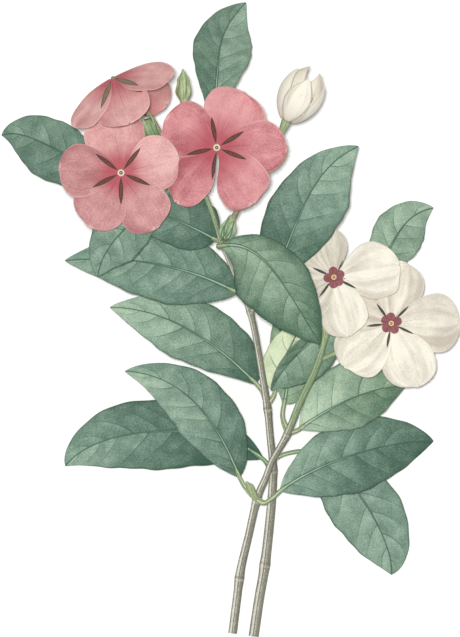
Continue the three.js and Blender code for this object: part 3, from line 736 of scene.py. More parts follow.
vein_ribs, given = start_grower("round_ribs", {"Rib Size": "Float", "Rib Sides": "Int", "Skin": "Material"})
paths = add(vein_ribs, "GeometryNodeMeshToCurve", {"Mesh": given[0]})
section_sizes = {"Resolution": given["Rib Sides"], "Radius": given["Rib Size"]}
section = add(vein_ribs, "GeometryNodeCurvePrimitiveCircle", section_sizes)
thickness = add(vein_ribs, "GeometryNodeInputNamedAttribute", {"Name": "thickness"}, data_type="FLOAT")
swept = {"Curve": paths, "Profile Curve": section, "Scale": thickness, "Fill Caps": True}
finish_grower(vein_ribs, add(vein_ribs, "GeometryNodeCurveToMesh", swept), given["Skin"])


def rib_part(leaf, skin):
    """The ribs under a blade, grown along its midrib and side veins."""
    paths = [(np.linspace(0.02, 0.96, MIDRIB_STEPS), np.zeros(MIDRIB_STEPS), MIDRIB_THICK)]
    feet = np.linspace(0, 1, 200)
    for side in (1, -1):
        v = side * np.linspace(0.02, RIB_REACH, RIB_STEPS)
        for k in range(1, vein_count(leaf)):
            foot = np.interp(k, vein_phase(leaf, feet, side * np.full(200, 1e-6)), feet)
            t = foot + VEIN_BOW * np.abs(v) ** VEIN_CURVE
            if t.max() < 0.97:
                paths.append((t, v, SIDE_VEIN_THICK))
    points, edges, thickness = [], [], []
    for t, v, (thick, thin) in paths:
        first = len(thickness)
        radii = np.linspace(thick, thin, len(t))
        depth = BLADE_THICK / 2 + RIB_HANGS * radii * MM
        line = blade_point(leaf, t, v)[0] - blade_normal(leaf, t, v) * depth[:, None]
        line[:, 2] = np.maximum(line[:, 2], thin * MM)
        points.append(line)
        edges += [(first + i, first + i + 1) for i in range(len(t) - 1)]
        thickness += list(radii)
    mesh = bpy.data.meshes.new("vein_paths")
    mesh.from_pydata(np.vstack(points).tolist(), edges, [])
    mesh.attributes.new("thickness", "FLOAT", "POINT").data.foreach_set("value", thickness)
    carrier = put_in_scene("vein_paths", mesh)
    part = run_tree(carrier, vein_ribs, {"Rib Size": MM, "Rib Sides": RIB_SIDES, "Skin": skin})
    size = len(part["points"])
    part["shade"] = np.tile([RIB_TONE, leaf["pale"], 0.0], (size, 1))
    part["place"] = np.tile([0.5, 9.0, 0.5], (size, 1))
    part["print"] = np.zeros((size, 3))
    return part


# Stalk of a leaf: a short, soft cord of pale green tissue. It clasps the stem with a flared foot, and
# its other end sinks into the blade.
STALK_RADIUS = 0.8 * MM
STALK_SINKS_IN = 0.08
STALK_ELBOW = 0.5
STALK_ROWS = 30
STALK_SIDES = 14
STALK_BEND_OUT = 0.7
STALK_BEND_IN = 0.25
STALK_GREENS = 0.6
PALE_STALK = 0.6
STALK_FLARE = ([0, 0.12, 0.3, 0.6, 0.8, 1], [1.4, 1.4, 1.05, 0.95, 1.0, 0.35])


def green_along(part, start, gain, even=0.0):
    """Shade marks of a green part: first green, gain to its end, evenness of its painted light and shade.
    """
    along = part["place"][:, 2]
    return np.stack([start + gain * along, 0 * along, even + 0 * along], -1)


def stalk_part(leaf, radius):
    ahead = midrib_point(leaf, 1e-3) - midrib_point(leaf, 0.0)
    ahead /= np.linalg.norm(ahead)
    base, joint = midrib_point(leaf, 0.0), at(leaf["joins"])
    elbow = base - ahead * STALK_ELBOW * np.linalg.norm(base - joint)
    bend = joint + (elbow - joint) * STALK_BEND_OUT
    bend = bend + (base - bend) * STALK_BEND_IN
    middle = [at(p) for p in leaf["via"]] if "via" in leaf else [bend]
    line, share = smooth_line([joint, *middle, base, midrib_point(leaf, STALK_SINKS_IN)], STALK_ROWS)
    part = tube(line, radius * np.interp(share, *STALK_FLARE), STALK_SIDES)
    shade = green_along(part, leaf.get("stalk", 0), STALK_GREENS)
    part["shade"] = shade * (1 - PALE_STALK * leaf["pale"])
    part["print"] = np.zeros_like(shade)
    part["material"] = 1
    return part


# Leaf skin: a waxy cuticle over soft green tissue. It is grey-green with a dull sheen above, paler
# and matt beneath. Fine pits of about 0.45 mm and slow cloudy patches of 5 mm break up the green.
# The side veins are fine dark lines, with painted light and shade across the swelling between each
# two, and the midrib is a pale cord between two dark lines of painted shade in its crease. The tone
# mark paints light and shade over the halves, foot and tip of each blade.
LEAF_GREENS = [(0.0, "#395849"), (0.25, "#557160"), (0.5, "#758f7e"), (0.75, "#95af9a"), (1.0, "#b6cab1")]
PALE_GREENS = [(0.0, "#5f8062"), (0.3, "#87a37a"), (0.6, "#b0c29a"), (1.0, "#dbe4c2")]
UNDERSIDE = "#9db196"
# Dark of the side vein lines, also used for the painted shade beside the midrib.
VEIN_AND_CREASE_SHADE_DARK = "#40604f"
MARGIN_DARK = "#48604f"
MIDRIB_PALE = "#abc2a6"
LEAF_PITS = 2200.0
LEAF_CLOUDS = 190.0
PIT_TONES = {1: 0.3, 2: 0.7, 3: -0.19, 4: 0.19}
CLOUD_TONES = {1: 0.3, 2: 0.7, 3: 0.34, 4: 0.58}
SWELL_LIGHT_AND_SHADE = {3: 0.08, 4: -0.08}
TONE_STEP = 0.6
VEIN_LINE = {1: 0.008, 2: 0.034, 3: 1.0, 4: 0.0}
VEIN_FADES = {1: 0.5, 2: 0.85, 3: 0.7, 4: 0.0}
VEIN_SINKS = 0.6
CORD_HALVES = {1: 0.0, 2: 0.7, 3: 0.34, 4: 0.0}
CORD_LINE = {1: -0.14, 2: 0.0, 3: 0.85, 4: 0.0}
BESIDE_CORD = (1.6, 0.06)
CREASE_SHADE_LINE = {1: 0.12, 2: 0.3, 3: 0.85, 4: 0.0}
MARGIN_LINE = {1: 0.95, 2: 0.99, 3: 0.0, 4: 0.4}
UNDERSIDE_SHOWS = {3: 0.6, 4: 0.0}
LEAF_RELIEF = (0.12 * MM, 0.5)
LEAF_ROUGH = {3: 0.78, 4: 0.6}
LEAF_GLOSS = 0.22

leaf_skin, tree, place, shade, drawn = start_material("waxy_leaf_skin", *MARKS)
position = add(tree, "ShaderNodeTexCoord").outputs["Object"]
pits = {"Vector": position, "Scale": LEAF_PITS, "Detail": 2.0, "Roughness": 0.7}
pits = add(tree, "ShaderNodeTexNoise", pits)
clouds = add(tree, "ShaderNodeTexNoise", {"Vector": position, "Scale": LEAF_CLOUDS, "Detail": 3.0})
pit_share = add(tree, "ShaderNodeMapRange", {0: pits, **PIT_TONES})
cloud_share = add(tree, "ShaderNodeMapRange", {0: clouds, **CLOUD_TONES})
between = add(tree, "ShaderNodeMath", {0: place[0]}, operation="FRACT")
# Painted light and shade across the swelling between two side veins: lighter just past a vein.
swell = add(tree, "ShaderNodeMapRange", {0: between, **SWELL_LIGHT_AND_SHADE})
painted_swell_shade = add(tree, "ShaderNodeMath", {0: swell, 1: drawn[1]}, operation="MULTIPLY")
grained = add(tree, "ShaderNodeMath", {0: pit_share, 1: cloud_share}, operation="ADD")
veined = add(tree, "ShaderNodeMath", {0: grained, 1: painted_swell_shade}, operation="ADD")
toned = add(tree, "ShaderNodeMath", {0: shade[0], 1: TONE_STEP, 2: veined}, operation="MULTIPLY_ADD")
green = add(tree, "ShaderNodeValToRGB", {0: toned}, LEAF_GREENS)
pale = add(tree, "ShaderNodeValToRGB", {0: toned}, PALE_GREENS)
to_vein = add(tree, "ShaderNodeMath", {0: place[0], 1: 0.5}, operation="PINGPONG")
vein_line = add(tree, "ShaderNodeMapRange", {0: to_vein, **VEIN_LINE})
vein_reach = add(tree, "ShaderNodeMapRange", {0: drawn[0], **VEIN_FADES})
vein_on = add(tree, "ShaderNodeMath", {0: vein_line, 1: vein_reach}, operation="MULTIPLY")
cord_half = add(tree, "ShaderNodeMapRange", {0: place[2], **CORD_HALVES})
from_cord = add(tree, "ShaderNodeMath", {0: place[1], 1: cord_half}, operation="SUBTRACT")
cord_on = add(tree, "ShaderNodeMapRange", {0: from_cord, **CORD_LINE})
# Painted shade: a dark line on each side of the pale midrib cord, in its crease.
beside = {0: cord_half, 1: BESIDE_CORD[0], 2: BESIDE_CORD[1]}
edge_place = add(tree, "ShaderNodeMath", beside, operation="MULTIPLY_ADD")
beside_cord = add(tree, "ShaderNodeMath", {0: place[1], 1: edge_place}, operation="SUBTRACT")
beside_cord = add(tree, "ShaderNodeMath", {0: beside_cord}, operation="ABSOLUTE")
crease_shade_on = add(tree, "ShaderNodeMapRange", {0: beside_cord, **CREASE_SHADE_LINE})
margin_on = add(tree, "ShaderNodeMapRange", {0: drawn[0], **MARGIN_LINE})
under_on = add(tree, "ShaderNodeMapRange", {0: shade[2], **UNDERSIDE_SHOWS})
layers = [(shade[1], pale), (vein_on, VEIN_AND_CREASE_SHADE_DARK), (cord_on, MIDRIB_PALE), (crease_shade_on, VEIN_AND_CREASE_SHADE_DARK)]
colour = lay_over(tree, green, [*layers, (margin_on, MARGIN_DARK), (under_on, UNDERSIDE)])
pitted = add(tree, "ShaderNodeMath", {0: vein_on, 1: -VEIN_SINKS, 2: pits}, operation="MULTIPLY_ADD")
roughness = add(tree, "ShaderNodeMapRange", {0: shade[2], **LEAF_ROUGH})
finish_material(tree, colour, pitted, LEAF_RELIEF, roughness, LEAF_GLOSS)

# Skin of soft green stalks, calyces and buds: thin, moist and yellow-green, with lengthwise ribs, a
# painted highlight along the upper side and painted shade on the flanks. The first shade turns it from
# yellow-green to blade green, the last evens out the painted highlight and shade, and the print marks
# draw the dark furrows.
STALK_PALE = [(0.25, "#7f8c60"), (0.5, "#a8b486"), (0.75, "#d2d7b5")]
STALK_GREEN = [(0.25, "#4f7553"), (0.5, "#759b70"), (0.75, "#9dba8e")]
FURROW_DARK = "#55703f"
# Painted highlight along the upper side and painted shade on the flanks of round green parts.
STALK_HIGHLIGHT = "#dbe0c2"
STALK_FLANK_SHADE = "#4f6d47"
STALK_SPECKS = 1800.0
FIBRE_LENGTH = 20 / 3 * MM
FIBRE_SCALE = 2.6
FIBRE_DETAIL = 3.0
FIBRE_SPECKS_SHARE = 0.4
STALK_HIGHLIGHT_RAGGED = 0.4
FURROW_LINE = {1: 0.03, 2: 0.13, 3: 1.0, 4: 0.0}
STALK_HIGHLIGHT_SHOWS = {1: 1.02, 2: 1.2, 3: 0.0, 4: 0.55}
STALK_FLANK_SHADE_SHOWS = {1: 0.2, 2: 1.0, 3: 0.8, 4: 0.0}
STALK_RELIEF = (0.1 * MM, 0.5)
STALK_ROUGH = {3: 0.42, 4: 0.62}
STALK_GLOSS = 0.35

stalk_skin, tree, place, shade, drawn = start_material("soft_green_stalk", *MARKS)
position = add(tree, "ShaderNodeTexCoord").outputs["Object"]
specks = add(tree, "ShaderNodeTexNoise", {"Vector": position, "Scale": STALK_SPECKS, "Detail": 2.0})
fibres, around = streaks_along(tree, place, FIBRE_LENGTH, FIBRE_SCALE, FIBRE_DETAIL)
mixed = add(tree, "ShaderNodeMix", {0: FIBRE_SPECKS_SHARE, 2: fibres, 3: specks})
pale = add(tree, "ShaderNodeValToRGB", {0: mixed}, STALK_PALE)
green = add(tree, "ShaderNodeValToRGB", {0: mixed}, STALK_GREEN)
to_furrow = add(tree, "ShaderNodeMath", {0: drawn[0], 1: 0.5}, operation="PINGPONG")
furrow = add(tree, "ShaderNodeMapRange", {0: to_furrow, **FURROW_LINE})
furrow_on = add(tree, "ShaderNodeMath", {0: furrow, 1: drawn[1]}, operation="MULTIPLY")
# Painted highlight where the part faces the light and painted shade on its flanks, evened by shade[2].
upper = add(tree, "ShaderNodeMath", {0: around}, operation="COSINE")
facing_light = add(tree, "ShaderNodeMath", {0: mixed, 1: STALK_HIGHLIGHT_RAGGED, 2: upper}, operation="MULTIPLY_ADD")
highlight_on = add(tree, "ShaderNodeMapRange", {0: facing_light, **STALK_HIGHLIGHT_SHOWS})
flank_shade_on = add(tree, "ShaderNodeMapRange", {0: facing_light, **STALK_FLANK_SHADE_SHOWS})
shaded = add(tree, "ShaderNodeMath", {0: 1.0, 1: shade[2]}, operation="SUBTRACT")
highlight_on = add(tree, "ShaderNodeMath", {0: highlight_on, 1: shaded}, operation="MULTIPLY")
flank_shade_on = add(tree, "ShaderNodeMath", {0: flank_shade_on, 1: shaded}, operation="MULTIPLY")
layers = [(shade[0], green), (highlight_on, STALK_HIGHLIGHT), (flank_shade_on, STALK_FLANK_SHADE), (furrow_on, FURROW_DARK)]
roughness = add(tree, "ShaderNodeMapRange", {0: mixed, **STALK_ROUGH})
finish_material(tree, lay_over(tree, pale, layers), mixed, STALK_RELIEF, roughness, STALK_GLOSS)

for name, leaf in LEAVES.items():
    parts = [blade_part(leaf, ROWS, COLUMNS), rib_part(leaf, leaf_skin), stalk_part(leaf, STALK_RADIUS)]
    declare(make_piece("blade_" + name, parts, [leaf_skin, stalk_skin]), name)

# Young leaves. Two small folded leaves of soft pale green tissue, only 8 mm long, stand on short
# stalks in the axils by the second pink flower.
YOUNG_LEAVES = {
    "young_leaf_left": {
        "joins": (219, 239, 29.5),
        "midrib": [(222.5, 238, 33), (223, 232, 34.8), (225, 226, 35.6), (229, 218.5, 35.8)],
        "wide": (1.0, 0.9), "fullest": (0.5, 0.5), "lift": (10, 10), "wave": 0, "phase": 0,
        "tone": (0.1, -0.1), "ends": (0.0, 0.0), "pale": 0.9,
    },
    "young_leaf_right": {
        "joins": (225, 236, 32),
        "midrib": [(226.5, 239.5, 34), (230.5, 234, 35.2), (232.6, 228, 35.8), (233.8, 222.5, 36)],
        "wide": (1.0, 1.2), "fullest": (0.5, 0.5), "lift": (10, 10), "wave": 0, "phase": 0,
        "tone": (0.1, -0.1), "ends": (0.0, 0.0), "pale": 0.9,
    },
}
YOUNG_ROWS = 40
YOUNG_COLUMNS = 12
YOUNG_STALK_RADIUS = 0.45 * MM
for name, leaf in YOUNG_LEAVES.items():
    parts = [blade_part(leaf, YOUNG_ROWS, YOUNG_COLUMNS), stalk_part(leaf, YOUNG_STALK_RADIUS)]
    declare(make_piece("blade_" + name, parts, [leaf_skin, stalk_skin]), name)


# Flowers. A corolla is one thin sheet of tissue: five wide petals that overlap like a propeller round
# a small raised throat, above a narrow tube. Dark slits of painted shade lie between the petals near
# the throat.

# A slit of painted shade has its colours, its start and end from the throat and its half width,
# in millimetres.
OPEN_SLIT_SHADE = ([(0.35, "#5d5744"), (0.65, "#8b8468")], 1.5, 14.0, 1.35)

# A petal has its direction, length, half width and droop, and a twist if it has folded back. Its
# painted light and shade make it lighter or darker, and a blush and painted shade darken one place:
# how far along, how far across and how deep. Falls and trims shape its right and left sides towards
# the rim, and waists towards the throat. One that sinks passes under both its neighbours, deeper on
# one side by its slope. Glow is where the deep rose at the throat starts to fade and where it ends,
# in millimetres.
FLOWERS = {
    "pink_flower_1": {
        "colour": "pink", "centre": (121.5, 174, 44), "faces": (0, 0, 1),
        "tube": [(121.5, 174, 44), (123, 172, 38), (136, 164, 35), (150, 156, 33.5)],
        "calyx": [(150, 156, 33.5), (160, 151, 32), (168, 148, 30)],
        "petals": [
            (-57, 23.4, 10.2, 5), (-123, 22.2, 10.2, 5), (177, 22.2, 10, 5), (100, 21, 11.6, 15),
            (16, 21.2, 10.4, 5),
        ],
        "light_and_shade": (-0.3, -0.4, -0.6, 0.5, 0.9),
        "blush_and_shade": {2: (0.45, 0.3, 0.9)},
        "falls": {3: (3.0, 3.0)},
        "slit_shade_spokes": (52, 143, 207, 270, 337),
        "glow": (4.5, 10.5),
        "tissue": [(0.3, "#a66d6f"), (0.48, "#c69190"), (0.66, "#e3b5b0")],
    },
    "pink_flower_2": {
        "colour": "pink", "centre": (217, 149, 44), "faces": (-0.1, 0.05, 0.99),
        "tube": [(217, 149, 44), (220, 153, 38), (234, 185, 36), (238, 206, 35), (231, 223, 33)],
        "calyx": [(232, 218, 33.6), (226.5, 231.5, 32), (221, 241, 28.5)],
        "calyx_radius": 1.3,
        "petals": [
            (-57, 23.6, 10.2, 5), (-128, 24.4, 9.4, 7), (150, 21.8, 11, 10), (65, 22.2, 11.8, 5),
            (1, 25, 10, 5),
        ],
        "light_and_shade": (0.0, -0.4, 0.1, 0.7, -0.35),
        "falls": {0: (4.0, 3.6), 1: (2.0, 2.8), 3: (2.6, 4.0), 4: (1.8, 1.8)},
        "trims": {0: (0.94, 1.08), 1: (1.0, 0.82)},
        "waists": {0: (1.2, 0), 1: (0, 0.2)},
        "sinks": {3: (3.8, 3.0)},
        "blush_and_shade": {0: (0.3, -0.4, 0.8), 1: (0.6, -0.7, 1.2), 2: (0.5, 0.6, 1.8)},
        "slit_shade_spokes": (31, 101, 192, 261, 338),
        "glow": (4.5, 14.0),
        "tissue": [(0.3, "#a35c62"), (0.48, "#cc8a8c"), (0.66, "#e2a6a6")],
    },
    "pink_flower_3": {
        "colour": "pink", "centre": (113, 79, 43.5), "faces": (-0.453, 0.779, 0.423),
        "tube": [
            (113, 79, 43.5), (122, 91, 40.5), (136, 106, 37), (148, 113.5, 36), (157, 127, 35),
            (163, 138, 34),
        ],
        "calyx": [(146, 121, 36.4), (150.5, 133, 35.4), (168, 148, 30)],
        "calyx_radius": 3.2,
        "calyx_swell": (0.22, 0.8),
        "calyx_green": 0.7,
        "tube_radius": 0.75,
        "petals": [
            (-33, 23.2, 10.6, 14), (25, 26, 8.5, 60, -75), (100, 22, 10, 42), (200, 22.6, 10.4, 15),
            (262, 23, 10.6, 24),
        ],
        "tilt": -0.07,
        "ring_rise": -1.1 * MM,
        "light_and_shade": (0.3, 0.1, 0.0, 0.6, 0.5),
        "blush_and_shade": {3: (1.0, 0.3, 1.3)},
        "falls": {0: (4.0, 1.4), 3: (2.6, 4.0)},
        "trims": {3: (0.66, 1.0)},
        "slit_shade_spokes": (-62, 65, 150, 229),
        "slit_shade": OPEN_SLIT_SHADE,
        "glow": (4.0, 13.0),
        "tissue": [(0.3, "#b17475"), (0.48, "#cf9895"), (0.66, "#e6b6b1")],
    },
    "white_flower_1": {
        "colour": "white", "centre": (334, 278, 30), "faces": (-0.2, 0.1, 0.97),
        "tube": [(334, 278, 30), (333, 281, 26), (330, 300, 24.5), (327, 322, 25.5)],
        "calyx": [(327, 322, 25.5), (324, 338, 25), (320, 358, 24)],
        "petals": [
            (-76, 21.4, 9.4, 5), (-140, 18, 8, 5), (162, 18, 8, 5), (104, 18.6, 7.6, 5),
            (10, 23.6, 10.8, 5),
        ],
        "light_and_shade": (0.1, -0.9, -1.0, -0.8, 0.1),
        "blush_and_shade": {0: (0.3, -0.6, 1.2), 4: (0.3, 0.6, 0.8)},
        "falls": {4: (5.5, 1.6)},
        "slit_shade_spokes": (60, 155, 231, 333),
        "lobes": (100, 26, -40, -96, 182),
    },
    "white_flower_2": {
        "colour": "white", "centre": (391, 324, 27.5), "faces": (0, 0.05, 0.998),
        "tube": [(391, 324, 27.5), (387, 325, 22.5), (372, 330, 20.5), (352, 342, 20.5)],
        "calyx": [(352, 342, 20.5), (338, 352, 22), (320, 360, 24)],
        "petals": [
            (-66, 24.4, 10, 5), (-138, 22.8, 10.6, 5), (154, 20, 9, 8), (78, 22.6, 9.2, 5),
            (1, 24.6, 11, 5),
        ],
        "light_and_shade": (0.2, -0.1, -1.0, -0.5, -0.5),
        "blush_and_shade": {0: (0.85, 0.5, 1.0), 3: (0.6, 0.3, 0.6), 4: (0.8, -0.4, 1.3)},
        "falls": {0: (2.4, 3.4)},
        "slit_shade_spokes": (45, 126, 186, 260, 335),
        "lobes": (93, 20, -61, -137, 150),
    },
}
PETAL_THICK = 0.4 * MM
PETAL_EDGE = 0.16 * MM
PETAL_ROOT = 1.0
PETAL_ROOT_HALF = 0.9
PETAL_FULLEST = 0.64
PETAL_RISE = 0.9
PETAL_FALLS = (2.4, 2.4)
PETAL_TILT = 0.07
PETAL_ROWS = 46
PETAL_COLUMNS = 36
PETAL_FOLD = (0.3, 0.28)
PETAL_PLEATS = {"pink": 0.06, "white": 0.14}
PETAL_RUFFLE = (0.3, 7.0)
BLUSH_AND_SHADE_REACH = (0.28, 0.42)
RIM_WAVE = (0.45, 5.0)
SIDE_WAVE = (0.025, 9.0)
PLEATS_ACROSS = 11.0
ROOT_NARROWS = 0.8
PETAL_ROWS_CROWD = 1.5


def flower_axes(faces):
    """The way a flower faces, and two directions across it."""
    facing = np.array(faces, float)
    facing /= np.linalg.norm(facing)
    first = np.array([facing[1], -facing[0], 0.0] if facing[2] < 0.9 else [1.0, 0.0, 0.0])
    first -= facing * (first @ facing)
    first /= np.linalg.norm(first)
    return facing, first, np.cross(facing, first)


def petal_point(flower, k, u, v):
    """The middle surface of a petal at share u from the throat to the rim and v across it."""
    facing, first, second = flower_axes(flower["faces"])
    direction, length, half, droop, twist = (*flower["petals"][k], 0)[:5]
    turn, sink = math.radians(direction), math.radians(droop)
    out = first * math.cos(turn) + second * math.sin(turn)
    side = second * math.cos(turn) - first * math.sin(turn)
    axis = out * math.cos(sink) - facing * math.sin(sink)
    square = out * math.sin(sink) + facing * math.cos(sink)
    right_fall, left_fall = flower.get("falls", {}).get(k, PETAL_FALLS)
    right_trim, left_trim = flower.get("trims", {}).get(k, (1, 1))
    rise = np.sin((np.pi / 2) * np.minimum(u / PETAL_FULLEST, 1)) ** PETAL_RISE
    past = np.clip((u - PETAL_FULLEST) / (1 - PETAL_FULLEST), 0, 1)
    outline = (half - PETAL_ROOT_HALF) * rise * np.sqrt(1 - past ** np.where(v > 0, left_fall, right_fall))
    outline = outline * np.where(v > 0, left_trim, right_trim)
    right_waist, left_waist = flower.get("waists", {}).get(k, (0, 0))
    outline = outline * rise ** np.where(v > 0, left_waist, right_waist)
    size, count = SIDE_WAVE
    across = v * (outline + PETAL_ROOT_HALF * (1 - ROOT_NARROWS * u))
    across = across * (1 + size * np.sin(count * u + direction))
    size, count = RIM_WAVE
    reach = PETAL_ROOT + (length - PETAL_ROOT) * u + size * np.sin(count * v + direction) * u**4
    depth, width = PETAL_FOLD
    fold = -depth * np.exp(-((v / width) ** 2)) * np.sin(np.pi * u)
    pleats = np.sin(PLEATS_ACROSS * v + direction) * np.sin(np.pi * u**0.8)
    pleats = PETAL_PLEATS[flower["colour"]] * pleats
    size, count = PETAL_RUFFLE
    ruffle = size * u**2 * np.sin(count * v + direction) * np.abs(v)
    turned = math.radians(twist) * u
    point = at(flower["centre"]) + axis * (reach * MM)[..., None]
    point = point + side * (across * np.cos(turned) * MM)[..., None]
    point = point + square * (across * np.sin(turned) * MM)[..., None]
    sink, slope = flower.get("sinks", {}).get(k, (0, 0))
    sunk = (sink + slope * v) * u
    height = across * flower.get("tilt", PETAL_TILT) + fold + pleats + ruffle - sunk
    return point + facing * (height * MM)[..., None]


def nearest_spoke(x, y, spokes):
    """Distance along and across the nearest of the spokes that leave the throat, in millimetres."""
    angle = np.arctan2(y, x)[..., None] - np.radians(np.array(spokes, float))
    angle = (angle + np.pi) % (2 * np.pi) - np.pi
    nearest = np.take_along_axis(angle, np.abs(angle).argmin(-1)[..., None], -1)[..., 0]
    radius = np.hypot(x, y)
    return radius * np.cos(nearest), radius * np.sin(nearest)


def sheet_normal(middle):
    """The direction square to a grid of points."""
    normal = np.cross(np.gradient(middle, axis=0), np.gradient(middle, axis=1))
    return normal / np.linalg.norm(normal, axis=-1, keepdims=True)


def petal_part(flower, k):
    along = 1 - (1 - np.linspace(0, 1, PETAL_ROWS + 1)) ** PETAL_ROWS_CROWD
    u, v = np.meshgrid(along, np.linspace(-1, 1, PETAL_COLUMNS + 1), indexing="ij")
    middle = petal_point(flower, k, u, v)
    thin = np.maximum(np.abs(v), u) ** 4
    shell = sheet_normal(middle) * ((PETAL_THICK + (PETAL_EDGE - PETAL_THICK) * thin) / 2)[..., None]
    facing, first, second = flower_axes(flower["faces"])
    points = np.stack([middle + shell, middle - shell])
    offset = (points - at(flower["centre"])) / MM
    x, y = offset @ first, offset @ second
    shade_spoke_along, shade_spoke_across = nearest_spoke(x, y, flower["slit_shade_spokes"])
    lobe_along, lobe_across = nearest_spoke(x, y, flower.get("lobes", [0]))
    place = np.stack([shade_spoke_along, shade_spoke_across, np.hypot(x, y)], -1)
    shade = np.stack([lobe_along, lobe_across, np.full_like(x, k + flower["centre"][0])], -1)
    # A blush and painted shade darken one place of the petal: grey on white petals, deeper rose on pink.
    along, over, depth = flower.get("blush_and_shade", {}).get(k, (0, 0, 0))
    reach_along, reach_over = BLUSH_AND_SHADE_REACH
    blush_and_shade = depth * np.exp(-(((u - along) / reach_along) ** 2) - ((v - over) / reach_over) ** 2)
    # Painted light and shade make each petal lighter or darker as a whole.
    painted_tone = np.stack([flower["light_and_shade"][k] - blush_and_shade] * 2)
    drawn = np.stack([np.stack([u, u]), np.stack([v, v]), painted_tone], -1)
    return {
        "points": points.reshape(-1, 3),
        "faces": sheet_faces(PETAL_ROWS, PETAL_COLUMNS),
        "place": place.reshape(-1, 3),
        "shade": shade.reshape(-1, 3),
        "print": drawn.reshape(-1, 3),
    }


# Petal tissue: soft, matt and faintly velvety, with a fine 0.4 mm mottle and faint veins that fan out
# from the throat. The pink one is deep rose in ragged streaks at the throat; the white one has a
# wine-red lobed eye and streaks of painted grey-beige shade along its folds. Painted light and shade
# make each petal lighter or darker, painted shade darkens the side that passes under its neighbour,
# and dark slits of painted shade lie between the petals near the throat.
PETAL_GRAIN = 2300.0
PETAL_CLOUDS = 230.0
VEINS_ACROSS = 9.0
FOLD_SHADES_ACROSS = 2.4
FAN_SCALE = 1.4
FANS_APART = 3.7
GRAIN_SHARE = 0.62
VEIN_SHARE = 0.16
PAINTED_TONE_STEP = 0.11
TUCK_SHADE_TONES = {1: -1.0, 2: -0.4, 3: -0.12, 4: 0.0}
RIM_LINE = {1: 0.94, 2: 0.985, 3: 0.0, 4: 0.45}
GLOW_RAGS = (7.0, 4.0)
GLOW_SHOWS = 0.85
SLIT_SHADE_LINE = {1: -0.02, 2: 0.12, 3: 0.0, 4: 0.95}
SLIT_SINKS = 0.6
SLIT_RIM_SHADE_LINE = {1: 0.16, 2: 0.42, 3: 0.9, 4: 0.0}
LOBE_SOFT = 0.15
MIDDLE_SOFT = 0.1
PETAL_RELIEF = (0.15 * MM, 0.4)
PETAL_ROUGH = {3: 0.65, 4: 0.8}
PETAL_GLOSS = 0.2
PETAL_SHEEN = {"Sheen Weight": 0.05, "Sheen Roughness": 0.4}


